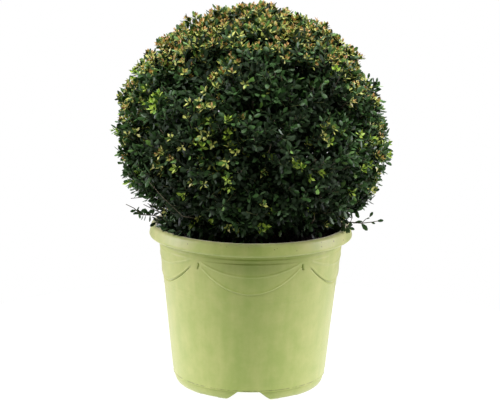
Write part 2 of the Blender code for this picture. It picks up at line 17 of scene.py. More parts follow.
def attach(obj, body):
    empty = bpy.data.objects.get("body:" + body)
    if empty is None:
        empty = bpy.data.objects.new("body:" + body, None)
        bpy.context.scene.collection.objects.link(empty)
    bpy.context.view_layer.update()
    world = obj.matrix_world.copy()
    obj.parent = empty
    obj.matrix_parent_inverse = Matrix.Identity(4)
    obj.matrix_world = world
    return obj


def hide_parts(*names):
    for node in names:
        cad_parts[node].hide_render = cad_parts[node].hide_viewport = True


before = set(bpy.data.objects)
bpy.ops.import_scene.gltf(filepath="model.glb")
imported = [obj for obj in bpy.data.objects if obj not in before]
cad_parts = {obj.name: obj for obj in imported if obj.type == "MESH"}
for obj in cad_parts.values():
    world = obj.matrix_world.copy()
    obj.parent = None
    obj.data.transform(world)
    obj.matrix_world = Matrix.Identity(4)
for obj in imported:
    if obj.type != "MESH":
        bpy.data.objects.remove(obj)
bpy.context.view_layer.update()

SEED = 7

# %% [markdown]
# ## Camera
# A long lens stands a good two and a half metres away and looks a little down, so that the
# soil shows behind the rim. Building the rotation from three axes is clearer than guessing
# angles: the camera's own X is right, its Y is up, and it looks along its -Z.

# %% Camera
CAMERA_TARGET = Vector((-0.002, 0.0, 0.303))
CAMERA_DISTANCE = 2.6
CAMERA_DROP = math.radians(11.5)
CAMERA_ROLL = math.radians(0.8)
SENSOR_WIDTH = 36.0
FOCAL_IN_FRAME_WIDTHS = 3.19


def link(name, data):
    """A new object in the scene, round a camera, a lamp or a mesh."""
    made = bpy.data.objects.new(name, data)
    bpy.context.scene.collection.objects.link(made)
    return made


camera = link("camera", bpy.data.cameras.new("camera"))
camera.data.sensor_width = SENSOR_WIDTH
camera.data.lens = FOCAL_IN_FRAME_WIDTHS * SENSOR_WIDTH
ahead = Vector((0.0, math.cos(CAMERA_DROP), -math.sin(CAMERA_DROP)))
level = Vector((1.0, 0.0, 0.0))
right = math.cos(CAMERA_ROLL) * level + math.sin(CAMERA_ROLL) * level.cross(ahead)
axes = Matrix((right, right.cross(ahead), -ahead)).transposed().to_4x4()
camera.matrix_world = Matrix.Translation(CAMERA_TARGET - ahead * CAMERA_DISTANCE) @ axes
bpy.context.scene.camera = camera
bpy.context.scene.view_settings.view_transform = "Standard"
print("camera at", [round(v, 3) for v in camera.location])

# %% [markdown]
# ## Node graphs as sums
# Shader maths reads best as ordinary expressions. `Wire` wraps one output socket, and adding or
# multiplying wires adds the Math nodes. Any other node comes from `Graph.add`, which takes the
# node's type, what goes into its sockets, the output wanted, and its settings by name.

# %% A small language for nodes
class Wire:
    """One output socket of a node, which can be used in sums."""

    def __init__(self, graph, socket):
        self.graph = graph
        self.socket = socket


def operators(operation):
    """The two ways that a sum can be written: wire first, or wire second."""
    return (lambda wire, other: wire.graph.math(operation, wire, other),
            lambda wire, other: wire.graph.math(operation, other, wire))


Wire.__add__, Wire.__radd__ = operators("ADD")
Wire.__sub__, Wire.__rsub__ = operators("SUBTRACT")
Wire.__mul__, Wire.__rmul__ = operators("MULTIPLY")


def rgba(red, green, blue):
    return (red, green, blue, 1.0)


class Graph:
    """A node tree, with one method that adds a node and returns one of its outputs."""

    def __init__(self, tree):
        self.tree = tree

    def add(self, kind, inputs=None, output=0, **settings):
        node = self.tree.nodes.new(kind)
        for name, value in settings.items():
            if name == "stops":
                for element, (place, grey) in zip(node.color_ramp.elements, value):
                    element.position = place
                    element.color = rgba(grey, grey, grey)
            else:
                setattr(node, name, value)
        for key, value in (inputs or {}).items():
            self.plug(node.inputs[key], value)
        return Wire(self, node.outputs[output])

    def plug(self, socket, value):
        if isinstance(value, Wire):
            self.tree.links.new(value.socket, socket)
        else:
            socket.default_value = value

    def math(self, operation, *values):
        return self.add("ShaderNodeMath", dict(enumerate(values)), operation=operation)

    def mix(self, factor, first, second):
        """A colour between two colours."""
        return self.add("ShaderNodeMix", {0: factor, 6: first, 7: second}, 2,
                        data_type="RGBA", clamp_factor=True)

    def ramp(self, factor, *stops):
        """A soft step between two stops, each a place and a grey value."""
        return self.add("ShaderNodeValToRGB", {"Fac": factor}, "Color", stops=stops)

    def along(self, axis, vector):
        return self.add("ShaderNodeSeparateXYZ", {0: vector}, axis)


class Finish(Graph):
    """A material with one Principled shader, whose sockets are set by name."""

    def __init__(self, name, **constants):
        self.material = bpy.data.materials.new(name)
        self.material.use_nodes = True
        super().__init__(self.material.node_tree)
        for socket, value in constants.items():
            self.feed(socket.replace("_", " "), value)

    def feed(self, socket, value):
        self.plug(self.tree.nodes["Principled BSDF"].inputs[socket], value)

    def noise(self, scale, detail=2.0, roughness=0.5, stretch=(1.0, 1.0, 1.0)):
        """Noise that stays put on the piece, finer along an axis where stretch is larger."""
        place = self.add("ShaderNodeTexCoord", output="Object")
        place = self.add("ShaderNodeMapping", {"Vector": place, "Scale": stretch})
        inputs = {"Vector": place, "Scale": scale, "Detail": detail, "Roughness": roughness}
        return self.add("ShaderNodeTexNoise", inputs, "Fac")

    def bump(self, height, distance):
        self.feed("Normal", self.add("ShaderNodeBump", {"Height": height, "Distance": distance}, "Normal"))


# %% [markdown]
# ## Studio
# A white sweep and soft light from the sides and the back leave the front of the pot a little
# darker than its edges. A wide lamp high in front fills the shade, and the crown keeps it off
# the rim. The floor is a pale disc in a pool of light, which brightens the foot of the pot most.
# Beyond it the world is white to the eye, and lights the plant mainly from behind and above.

# %% Floor, world and lamps
FLOOR_RADIUS = 0.65
FLOOR_GLOW = 0.96
WORLD_BELOW = 0.20
WORLD_FRONT = 0.08
WORLD_BACK = 0.50
LAMP_AIM = Vector((0.0, 0.0, 0.32))
WHITE = (1.0, 1.0, 1.0)
SIDE_TINT = (1.02, 0.87, 1.14)
# Each lamp's place, size, power and colour.
LAMPS = {
    "lamp_left": ((-2.2, 0.1, 0.92), (0.9, 1.4), 61.0, SIDE_TINT),
    "lamp_right": ((2.2, 0.1, 0.92), (0.9, 1.4), 59.0, SIDE_TINT),
    "lamp_top": ((0.1, 0.7, 2.5), (1.3, 1.3), 36.0, WHITE),
    "lamp_front": ((0.0, -1.02, 2.6), (2.0, 1.2), 68.0, WHITE)}


def bmesh_object(name, bm):
    mesh = bpy.data.meshes.new(name)
    bm.to_mesh(mesh)
    bm.free()
    return link(name, mesh)


def make_floor():
    bm = bmesh.new()
    bmesh.ops.create_circle(bm, cap_ends=True, segments=96, radius=FLOOR_RADIUS)
    floor = bmesh_object("floor", bm)
    paint = Finish("floor_paint", Base_Color=rgba(0.12, 0.12, 0.12), Roughness=0.9,
                   Emission_Color=rgba(*WHITE), Emission_Strength=FLOOR_GLOW)
    floor.data.materials.append(paint.material)


def make_world():
    world = bpy.data.worlds.new("studio")
    world.use_nodes = True
    bpy.context.scene.world = world
    graph = Graph(world.node_tree)
    direction = graph.add("ShaderNodeTexCoord", output="Generated")
    behind = graph.ramp(graph.along("Y", direction) * 0.5 + 0.5, (0.25, 0.0), (0.8, 1.0))
    sky = graph.ramp(graph.along("Z", direction) * 0.5 + 0.5, (0.46, 0.0), (0.56, 1.0))
    above = WORLD_FRONT + behind * (WORLD_BACK - WORLD_FRONT)
    light = graph.add("ShaderNodeBackground", {"Strength": WORLD_BELOW + sky * (above - WORLD_BELOW)})
    seen = graph.add("ShaderNodeBackground", {"Color": rgba(*WHITE)})
    eye = graph.add("ShaderNodeLightPath", output="Is Camera Ray")
    both = graph.add("ShaderNodeMixShader", {0: eye, 1: light, 2: seen})
    graph.plug(graph.tree.nodes["World Output"].inputs["Surface"], both)


make_floor()
make_world()
for name, (place, size, power, tint) in LAMPS.items():
    lamp = link(name, bpy.data.lights.new(name, "AREA"))
    lamp.data.shape = "RECTANGLE"
    lamp.data.size, lamp.data.size_y = size
    lamp.data.energy = power
    lamp.data.color = tint
    lamp.location = place
    lamp.rotation_euler = (LAMP_AIM - Vector(place)).to_track_quat("-Z", "Y").to_euler()
print("studio: floor, world and", len(LAMPS), "lamps")

# %% [markdown]
# ## From arrays to meshes
# Thousands of leaves are quicker to lay out as arrays of numbers than one by one. These helpers
# turn arrays into plain meshes, and hand a finished piece to the frame.

# %% Mesh helpers
def mesh_object(name, vertices, edges=(), faces=()):
    mesh = bpy.data.meshes.new(name)
    mesh.from_pydata(*([tuple(row) for row in rows] for rows in (vertices, edges, faces)))
    mesh.validate()
    if len(faces):
        mesh.shade_smooth()
    return link(name, mesh)


def tube_faces(rows, columns):
    """The quads between rows of points that each go once round, and a cap at each end."""
    index = np.arange(rows * columns).reshape(rows, columns)
    following = np.roll(index, -1, axis=1)
    quads = np.stack([index[:-1], following[:-1], following[1:], index[1:]], axis=-1)
    return quads.reshape(-1, 4).tolist() + [index[0, ::-1].tolist(), index[-1].tolist()]


def give_to_frame(piece, slot, *nodes):
    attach(piece, "root")
    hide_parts(*nodes)
    print(f"{piece.name}: {sum(len(face.vertices) - 2 for face in piece.data.polygons)} triangles")


def around(radius, angle, z):
    """A point at an angle from the front, turning towards +X."""
    return Vector((radius * math.sin(angle), -radius * math.cos(angle), z))


def smooth_step(low, high, value):
    t = np.clip((value - low) / (high - low), 0.0, 1.0)
    return t * t * (3.0 - 2.0 * t)


def bell(value, width):
    return np.exp(-(value / width) ** 2)


# %% [markdown]
# ## Pot
# The real pot is one thin moulding: a tapering wall, a rolled rim, five swags of cloth in low
# relief and a foot ring with three notches. It could be carved with cutters, but a turned
# profile whose radius also depends on the angle is simpler: each point of a fine grid is pushed
# in or out by the relief at its place. Only the notches are real cuts.

# %% Pot sizes
POT_COLUMNS = 600
LIP_MIDDLE = (0.1613, 0.2496)
LIP_ROUNDING = 0.0042
RIM_TOP_MIDDLE = (0.1562, 0.26)
RIM_TOP_HALF_SIZES = (0.007, 0.0062)
WALL_TOP_Z = 0.245
WALL_TOP_RADIUS = 0.1496
WALL_FOOT_Z = 0.0182
WALL_FOOT_RADIUS = 0.1257
WALL_THICKNESS = 0.0028
POT_FLOOR_Z = 0.017
POT_FLOOR_THICKNESS = 0.003
FOOT_RADIUS = 0.1156
FOOT_RING_WIDTH = 0.004
FOOT_SHOULDER = 0.005
SWAG_ANGLE = math.tau / 5
SWAG_HALF_ANGLE = math.radians(31.7)
RELIEF = 0.0018
CLOTH_HEIGHT = 0.45 * RELIEF
HEM_BEAD_HEIGHT = 0.4 * RELIEF
FOLD_HEIGHT = 0.42 * RELIEF
GATHER_DEPTH = 0.55 * RELIEF
RING_LINE_DEPTH = 0.00016
HEM_LOWEST_Z = 0.181
HEM_RISE = 0.0375
FOLD_LOWEST_Z = 0.21
FOLD_RISE = 0.0183
SIDE_FOLD_LIFT = 0.003
GATHER_STEPS = (0.2306, 0.2377)
RING_LINES = (0.164, 0.1705, 0.1765)
HOOK_ANGLE = math.radians(33.6)
HOOK_Z = 0.2215
HOOK_HALF_HEIGHT = 0.0052
HOOK_DEPTH = 0.0028
HOOK_WIDTH = 0.0066
HOOK_CURL = 0.012
FOOT_GROOVE_DEPTH = 0.0005
NOTCH_HEIGHT = 0.0165
NOTCH_TOP_WIDTH = 0.035
NOTCH_BOTTOM_WIDTH = 0.068
FOOT_RECESS_HEIGHT = 0.0024
FOOT_RECESS_ANGLES = (math.radians(24.5), math.radians(41.0))


def wall_radius(z):
    share = (z - WALL_FOOT_Z) / (WALL_TOP_Z - WALL_FOOT_Z)
    return WALL_FOOT_RADIUS + share * (WALL_TOP_RADIUS - WALL_FOOT_RADIUS)


# %% [markdown]
# The relief is a sum of soft bells along curves. A swag hangs as a parabola: `place` is 0 in its
# middle and 1 at its ends, and the hem and the folds rise with the square of it.

# %% Relief of the swags
def relief(angle, z):
    """How far the wall stands out at each angle and height, as arrays."""
    offset = (angle + SWAG_ANGLE / 2) % SWAG_ANGLE - SWAG_ANGLE / 2
    place = np.abs(offset) / SWAG_HALF_ANGLE
    hang = np.minimum(place, 1.0) ** 2
    hem = HEM_LOWEST_Z + HEM_RISE * hang
    in_swag = 1.0 - smooth_step(0.955, 1.03, place)
    cloth = smooth_step(hem - 0.0006, hem + 0.001, z) * (1.0 - smooth_step(0.45, 1.0, place))
    height = CLOTH_HEIGHT * cloth
    height += HEM_BEAD_HEIGHT * bell(z - hem - 0.0014, 0.0015) * in_swag
    from_front = (angle + math.pi) % math.tau - math.pi
    on_side = np.abs(from_front) > SWAG_ANGLE / 2
    height -= (0.12 + 0.85 * on_side) * RELIEF * bell(z - hem + 0.001, 0.001) * in_swag
    tucked = SIDE_FOLD_LIFT * on_side * (1.0 - hang)
    height += FOLD_HEIGHT * bell(z - FOLD_LOWEST_Z - FOLD_RISE * hang - tucked, 0.0014) * in_swag
    for step in GATHER_STEPS:
        height -= GATHER_DEPTH * smooth_step(step - 0.0004, step + 0.0004, z) * (1.0 - 0.6 * hang)
    for line in RING_LINES:
        height -= RING_LINE_DEPTH * bell(z - line, 0.001)
    hook_bend = HOOK_CURL * smooth_step(HOOK_Z + 0.001, HOOK_Z - HOOK_HALF_HEIGHT, z)
    hook_run = 1.0 - smooth_step(0.8, 1.15, np.abs(z - HOOK_Z) / HOOK_HALF_HEIGHT)
    front_side = offset * np.sign(from_front)
    height -= HOOK_DEPTH * bell(front_side - HOOK_ANGLE - hook_bend, HOOK_WIDTH) * hook_run
    return height - FOOT_GROOVE_DEPTH * bell(z - WALL_FOOT_Z, 0.001)


def row_heights():
    """Heights up the wall, close together where the relief is."""
    return [WALL_FOOT_Z - 0.0016, WALL_FOOT_Z - 0.0006, *np.linspace(WALL_FOOT_Z, 0.16, 14),
            *np.arange(0.162, 0.1785, 0.0011), *np.arange(0.179, WALL_TOP_Z - 0.0005, 0.00095), WALL_TOP_Z]


# %% Turn the pot
def arc(middle, reach_out, reach_up, first, last, count):
    """Points of a profile on part of an oval, by angles from outwards, upwards."""
    turns = np.radians(np.linspace(first, last, count))
    return [(middle[0] + reach_out * math.cos(t), middle[1] + reach_up * math.sin(t)) for t in turns]


def pot_profile():
    """(radius, height) rows from under the floor, up the outside and down the inside."""
    inner = FOOT_RADIUS - FOOT_RING_WIDTH
    foot = [(inner + FOOT_SHOULDER, POT_FLOOR_Z), (inner + 0.001, 0.003), (inner + 0.0003, 0.0006),
            (inner + 0.001, 0.0), (FOOT_RADIUS - 0.0014, 0.0), (FOOT_RADIUS - 0.0003, 0.0006)]
    foot += arc((FOOT_RADIUS, 0.0164), 0.0078, 0.0158, -90, 0, 7)[1:]
    wall = [(wall_radius(z), z) for z in row_heights()]
    floor = POT_FLOOR_Z + POT_FLOOR_THICKNESS
    rim = [(WALL_TOP_RADIUS + 0.0016, LIP_MIDDLE[1] - LIP_ROUNDING),
           *arc(LIP_MIDDLE, LIP_ROUNDING, LIP_ROUNDING, -90, 20, 9),
           *arc(RIM_TOP_MIDDLE, *RIM_TOP_HALF_SIZES, 10, 180, 15),
           (WALL_TOP_RADIUS - WALL_THICKNESS, WALL_TOP_Z - 0.004),
           (wall_radius(floor) - WALL_THICKNESS, floor)]
    return np.array(foot + wall + rim), len(foot), len(foot + wall)


def prism(bm, *outlines):
    """A closed solid between two outlines."""
    low, high = ([bm.verts.new(point) for point in outline] for outline in outlines)
    for i in range(len(low)):
        bm.faces.new((low[i - 1], low[i], high[i], high[i - 1]))
    bm.faces.new(low[::-1])
    bm.faces.new(high)


def notch_cutters():
    """Three rounded trapezoids, and a shallow recess on each side of them, as one mesh."""
    wide, narrow = NOTCH_BOTTOM_WIDTH / 2, NOTCH_TOP_WIDTH / 2
    half = ((wide + 0.006, -0.01), (wide + 0.006, 0.0), (wide + 0.002, 0.0008), (wide - 0.0015, 0.0032),
            (narrow + 0.0016, NOTCH_HEIGHT - 0.0018), (narrow - 0.0012, NOTCH_HEIGHT))
    outline = [*half, *((-x, z) for x, z in reversed(half))]
    inner, outer = FOOT_RADIUS - 0.018, WALL_FOOT_RADIUS + 0.016
    bm = bmesh.new()
    for turn in np.arange(3) * math.tau / 3:
        spin = Matrix.Rotation(turn, 3, "Z")
        prism(bm, *([spin @ Vector((x, -reach, z)) for x, z in outline] for reach in (inner, outer)))
        for side in (-1, 1):
            first, last = (turn + side * angle for angle in FOOT_RECESS_ANGLES)
            corners = ((inner, first), (outer, first), (outer, last), (inner, last))
            prism(bm, *([around(*corner, z) for corner in corners] for z in (-0.01, FOOT_RECESS_HEIGHT)))
    bmesh.ops.recalc_face_normals(bm, faces=bm.faces[:])
    return bmesh_object("notch_cutters", bm)


def evaluated_mesh(piece):
    """A piece's mesh with its modifiers worked out, which are then taken off."""
    graph = bpy.context.evaluated_depsgraph_get()
    graph.update()
    mesh = bpy.data.meshes.new_from_object(piece.evaluated_get(graph))
    piece.modifiers.clear()
    return mesh


def turn_pot():
    profile, start, end = pot_profile()
    angle = np.linspace(0.0, math.tau, POT_COLUMNS, endpoint=False)[None, :]
    radius, z = (np.repeat(profile[:, column:column + 1], POT_COLUMNS, axis=1) for column in (0, 1))
    radius[start:end] += relief(np.repeat(angle, end - start, axis=0), z[start:end])
    sway = 0.00035 * np.sin(3 * angle + 1.0) + 0.0002 * np.sin(7 * angle + 14.0 * z)
    radius[start:] += sway[start:] * smooth_step(0.02, 0.1, z[start:])
    points = np.stack([radius * np.sin(angle), -radius * np.cos(angle), z], axis=-1).reshape(-1, 3)
    pot = mesh_object("pot_moulding", points, faces=tube_faces(len(profile), POT_COLUMNS))
    cutters = notch_cutters()
    cut = pot.modifiers.new("notches", "BOOLEAN")
    cut.object = cutters
    cut.solver = "MANIFOLD"
    pot.data = evaluated_mesh(pot)
    bpy.data.objects.remove(cutters, do_unlink=True)
    pot.data.shade_smooth()
    pot.data.set_sharp_from_angle(angle=math.radians(50.0))
    return pot


# %% [markdown]
# The plastic is satin and slightly chalky, which a warm sheen gives. Handling and moulding leave
# a faint mottle and long upright streaks, so the colour is mixed from near greens by noise. A
# few specks of soil stick to the rim, and a broken line of it fills the groove above the foot.

# %% Pot plastic
POT_GREEN = rgba(0.325, 0.42, 0.09)
POT_GREEN_WORN = rgba(0.425, 0.485, 0.138)
SPECK_BROWN = rgba(0.06, 0.045, 0.025)


def pot_plastic():
    finish = Finish("pot_plastic", Specular_IOR_Level=0.35, Sheen_Weight=0.5, Sheen_Roughness=0.5,
                    Sheen_Tint=rgba(1.0, 1.0, 0.75))
    mottle = finish.noise(38.0, 5.0, 0.62)
    streaks = finish.noise(1.0, 3.0, stretch=(60.0, 60.0, 5.0))
    worn = finish.ramp(mottle * 0.6 + streaks * 0.4, (0.38, 0.0), (0.66, 1.0))
    height = finish.along("Z", finish.add("ShaderNodeTexCoord", output="Object"))
    on_rim = finish.ramp(height * 3.0, (0.75, 0.0), (0.758, 1.0))
    specks = finish.ramp(finish.noise(230.0, 0.0), (0.815, 0.0), (0.835, 1.0))
    seam = finish.ramp(finish.math("ABSOLUTE", height - WALL_FOOT_Z) * 100.0, (0.05, 1.0), (0.11, 0.0))
    broken = finish.ramp(finish.noise(1.0, stretch=(90.0, 90.0, 5.0)), (0.38, 0.0), (0.54, 1.0))
    finish.feed("Base Color", finish.mix(specks * on_rim * 0.7 + seam * broken * 0.5,
                                         finish.mix(worn, POT_GREEN, POT_GREEN_WORN), SPECK_BROWN))
    finish.feed("Roughness", 0.4 + 0.14 * mottle)
    finish.bump(finish.noise(900.0) * 0.3 + mottle * 0.7, 0.0004)
    return finish.material


pot = turn_pot()
pot.data.materials.clear()
pot.data.materials.append(pot_plastic())
give_to_frame(pot, "pot_plastic", "pot")

# %% [markdown]
# ## Potting mix
# Dark, moist and crumbly, with bits of bark. The surface is a disc pushed about by noise, and a
# node tree scatters crumbs and bark chips over it. The tree has named inputs for its sizes and
# its seed, so the same tree makes both.

# %% The heap of potting mix
SOIL_Z = 0.245
SOIL_RINGS = 44
SOIL_COLUMNS = 180
SOIL_PAD_RADIUS = 0.03
HEAP_HEIGHT = 0.003
GRAIN_HEIGHT = 0.0011


def soil_surface():
    edge = wall_radius(SOIL_Z) - WALL_THICKNESS - 0.0006
    points = []
    for ring in range(SOIL_RINGS):
        for column in range(SOIL_COLUMNS):
            point = around(edge * (1.0 - ring / SOIL_RINGS), math.tau * column / SOIL_COLUMNS, 0.0)
            coarse = noise.noise(point * 38.0 + Vector((SEED, 0.0, 0.0)))
            fine = noise.fractal(point * 190.0, 0.8, 2.0, 3)
            away = min(max((point.length - SOIL_PAD_RADIUS) / 0.03, 0.0), 1.0)
            point.z = SOIL_Z + away * (HEAP_HEIGHT * coarse) + GRAIN_HEIGHT * fine
            points.append(point)
    skirt = [(x, y, SOIL_Z - 0.012) for x, y, _ in points[:SOIL_COLUMNS]]
    faces = tube_faces(SOIL_RINGS + 1, SOIL_COLUMNS)
    del faces[-2]  # open below, inside the pot
    return mesh_object("potting_mix_heap", skirt + points, faces=faces)


# %% A tree that scatters crumbs
def new_tree(name, **kinds):
    """A node tree on a mesh. Returns its graph, and a wire from each of its named inputs."""
    tree = bpy.data.node_groups.new(name, "GeometryNodeTree")
    kinds = {"Geometry": "Geometry", **kinds, "Finish": "Material"}
    for label, kind in kinds.items():
        tree.interface.new_socket(label, in_out="INPUT", socket_type="NodeSocket" + kind)
    tree.interface.new_socket("Geometry", in_out="OUTPUT", socket_type="NodeSocketGeometry")
    graph = Graph(tree)
    source = tree.nodes.new("NodeGroupInput")
    return graph, {label: Wire(graph, source.outputs[label]) for label in kinds}


def end_tree(graph, made, finish):
    """Turn instances into real faces, give them their finish and send them out."""
    real = graph.add("GeometryNodeRealizeInstances", {0: made})
    painted = graph.add("GeometryNodeSetMaterial", {"Geometry": real, "Material": finish})
    graph.plug(graph.tree.nodes.new("NodeGroupOutput").inputs[0], painted)
    return graph.tree


def run_tree(name, carrier, tree, **values):
    """Run a tree on an object, and keep the result as a plain mesh object."""
    step = carrier.modifiers.new("grow", "NODES")
    step.node_group = tree
    for item in tree.interface.items_tree:
        if item.in_out == "INPUT" and item.name in values:
            step[item.identifier] = values[item.name]
    mesh = evaluated_mesh(carrier)
    mesh.name = name
    return link(name, mesh)


def scatter_tree():
    graph, given = new_tree("scatter_on_soil", Crumb="Object", Density="Float", Smallest="Float",
                            Reach="Float", Seed="Int")
    upward = graph.along("Z", graph.add("GeometryNodeInputNormal"))
    level = graph.add("FunctionNodeCompare", {0: upward, 1: 0.3}, operation="GREATER_THAN")
    place = graph.add("GeometryNodeInputPosition")
    sideways = graph.add("ShaderNodeVectorMath", {0: place, 1: (1.0, 1.0, 0.0)}, operation="MULTIPLY")
    away = graph.add("ShaderNodeVectorMath", {0: sideways}, "Value", operation="LENGTH")
    within = graph.add("FunctionNodeCompare", {0: away, 1: given["Reach"]}, operation="LESS_THAN")
    chosen = graph.add("FunctionNodeBooleanMath", {0: level, 1: within}, operation="AND")
    points = graph.add("GeometryNodeDistributePointsOnFaces",
                       {"Mesh": given["Geometry"], "Density": given["Density"], "Seed": given["Seed"],
                        "Selection": chosen})
    turn = graph.add("FunctionNodeRandomValue", {0: (0.0,) * 3, 1: (math.tau,) * 3, "Seed": given["Seed"]},
                     data_type="FLOAT_VECTOR")
    size = graph.add("FunctionNodeRandomValue", {2: given["Smallest"], 3: 1.0, "Seed": given["Seed"]}, 1,
                     data_type="FLOAT")
    return end_tree(graph, place_copies(graph, given["Crumb"], points, turn, size), given["Finish"])


def place_copies(graph, model, points, turn, size):
    model = graph.add("GeometryNodeObjectInfo", {"Object": model}, "Geometry")
    return graph.add("GeometryNodeInstanceOnPoints",
                     {"Points": points, "Instance": model, "Rotation": turn, "Scale": size})


def lump(name, radii, roughen):
    """A small irregular lump of twenty faces to scatter."""
    bm = bmesh.new()
    bmesh.ops.create_icosphere(bm, subdivisions=1, radius=1.0)
    rng = random.Random(SEED)
    for vert in bm.verts:
        grow = 1.0 + rng.uniform(-roughen, roughen)
        vert.co = vert.co * Vector(radii) * grow
    return bmesh_object(name, bm)


# %% Soil finishes
def earth(name, dark, light, rough):
    finish = Finish(name, Specular_IOR_Level=0.3)
    grain = finish.noise(210.0, 4.0, 0.7)
    finish.feed("Base Color", finish.mix(finish.ramp(grain, (0.35, 0.0), (0.7, 1.0)), dark, light))
    finish.feed("Roughness", rough + 0.12 * grain)
    finish.bump(finish.noise(700.0, 3.0), 0.0008)
    return finish.material


soil_paint = earth("potting_mix", rgba(0.01, 0.007, 0.005), rgba(0.04, 0.026, 0.017), 0.78)
chip_paint = earth("bark_chips", rgba(0.055, 0.024, 0.012), rgba(0.17, 0.085, 0.045), 0.7)
heap = soil_surface()
heap.data.materials.append(soil_paint)
tree = scatter_tree()
for name, radii, density, smallest, paint in (
        ("potting_mix_crumbs", (0.003, 0.0024, 0.0018), 42000.0, 0.35, soil_paint),
        ("bark_chip_bits", (0.0075, 0.0035, 0.0016), 1500.0, 0.45, chip_paint)):
    model = lump(name + "_model", radii, 0.28)
    reach = wall_radius(SOIL_Z) - WALL_THICKNESS - 1.3 * radii[0]
    bits = run_tree(name, heap, tree, Crumb=model, Density=density, Smallest=smallest, Reach=reach,
                    Seed=SEED, Finish=paint)
    bpy.data.objects.remove(model, do_unlink=True)
    give_to_frame(bits, "potting_mix", "potting_mix")
give_to_frame(heap, "potting_mix", "potting_mix")

# %% [markdown]
# ## The growth rule
# The crown is the same rule as in the solid model, written again and carried further. The ball
# is shared out between seven spaces, one for each bough. In each space one stem feeds a few
# hubs, each hub feeds shoots, and here every shoot also feeds laterals and every lateral feeds
# fine sprigs. At each level the directions lie evenly on a spiral round the ball, and each twig
# starts from the nearest twig of the level before.

# %% Sizes of the crown
UP = Vector((0.0, 0.0, 1.0))
STEM_RADIUS = 0.0132
STEM_TAPER = 0.035
STEM_FLARE = 0.0085
STEM_TOP_Z = 0.302
STEM_LEAN = Vector((0.003, -0.002, 0.0))
BOUGH_ROOT_DROPS = (0.01, 0.022)
BOUGH_RADII = (0.0046, 0.0029)
BOUGH_TIP = (0.088, 0.382)
BOUGH_SAG = 0.006
LEADER_RADII = (0.0058, 0.0029)
LEADER_TIP = Vector((0.004, 0.003, 0.45))
LOW_LIMB_RADII = (0.003, 0.0016)
LOW_LIMB_ROOT_HEIGHT = 0.016
LOW_LIMB_BOW = Vector((0.0, 0.009, -0.002))
# Steps along, sides round and relief of the bark, for the stem's mesh and for a limb's.
STEM_MESH = (29, 36, 0.075)
LIMB_MESH = (28, 14, 0.1)
LOW_LIMB_TIPS = {"low_left": Vector((-0.132, -0.03, 0.2745)), "low_right": Vector((0.134, -0.034, 0.2735))}

CROWN_Z = 0.4025
CROWN_RADIUS = 0.2205
CROWN_REACH = 0.2278
CROWN_FLOOR_Z = 0.2765
CORE_FLOOR_Z = 0.288
UNDERCUT_Z = 0.316
UNDERCUT_RADIUS = 0.2005
UNDERCUT_SLOPE = 1.386
UNDERCUT_CENTRE_X = 0.01
SIDE_MASSES = 6
SIDE_TURN = math.radians(8.0)
TOP_APEX_Z = 0.34
TOP_HALF_ANGLE = math.radians(38.0)
EDGE_SHARE = 0.009
BARE_RADIUS = 0.085
MIDDLE = UP * CROWN_Z

HUBS_ON_FULL_BALL = 34
HUB_RADIUS = 0.152
SHOOTS_ON_FULL_BALL = 132
SHOOT_LENGTH = 0.046
SHOOT_INSET = 0.012
SHOOT_RISE = 0.6
MASS_STEM_LENGTH = 0.055
TUFTS_ON_FULL_BALL = 1000
TUFT_RADIUS = 0.2125
TUFT_UNEVEN = 0.0075
TUFT_LENGTH = 0.046
TUFT_WANDER = 0.16
SPRIGS_IN_TUFT = (4, 7)
SPRIG_LEAN = (26.0, 52.0)
SPRIG_RISE = 0.18
SHORTEST_SPRIG = 0.012
LONGEST_SPRIG = 0.029
CLUSTER_GAP_DEPTH = 0.024
NEW_GROWTH_LENGTH = 0.006
TOP_FLATTENED = 0.006
INNER_TUFTS_ON_FULL_BALL = 300
INNER_TUFT_RADIUS = 0.172
INNER_TUFT_WANDER = 0.5
INNER_TUFT_CLEARANCE = 0.012
SKIRT_TUFTS = 130
SKIRT_RADII = (0.085, 0.16)
SKIRT_Z = (0.258, 0.284)
SKIRT_GAP = (20.0, 46.0, 0.056)
SKIRT_OPEN_X = -0.118
SKIRT_OPEN_Y = -0.025
FIRST_SKIRT_TUFT = 10000
FIRST_INNER_TUFT = 20000
BRANCHLET_GIRTHS = (0.0026, 0.0021, 0.0017)
SHOOT_GIRTHS = (0.0018, 0.0016, 0.0013, 0.0008)
LATERAL_GIRTHS = (0.0012, 0.0011, 0.0009, 0.0006)
SPRIG_GIRTHS = (0.0006, 0.0004)
BARE_TWIG_GIRTHS = (0.0013, 0.001, 0.0006)
LONG_TWIG_GIRTHS = (0.0009, 0.0008, 0.0007, 0.0005)
GOLDEN_ANGLE = math.pi * (3.0 - math.sqrt(5.0))
MASS_NAMES = [f"side_{k + 1}" for k in range(SIDE_MASSES)] + ["top"]
FOLIAGE_NODES = [f"foliage_{name}" for name in (*MASS_NAMES, *LOW_LIMB_TIPS)]


# %% Spaces of the masses
def side_angle(k):
    return SIDE_TURN + math.tau * k / SIDE_MASSES


def crown_planes(name):
    """The flat sides of a mass's space: each is a point and a normal that points inwards."""
    planes = []
    for k in range(SIDE_MASSES):
        away = around(1.0, side_angle(k), 0.0) * math.cos(TOP_HALF_ANGLE) - UP * math.sin(TOP_HALF_ANGLE)
        if name == "top":
            planes.append((UP * TOP_APEX_Z, -away))
        elif name == f"side_{k + 1}":
            planes.append((UP * TOP_APEX_Z, away))
            for side in (-1, 1):
                edge = side_angle(k) + side * math.pi / SIDE_MASSES
                planes.append((Vector(), -side * around(1.0, edge + math.pi / 2, 0.0)))
    return planes


SPACES = {name: crown_planes(name) for name in MASS_NAMES}


def depth_in_space(name, point):
    return min((point - where).dot(normal) for where, normal in SPACES[name])


def mass_of(point):
    """The name of the mass whose space holds a point."""
    return max(MASS_NAMES, key=lambda name: depth_in_space(name, point))


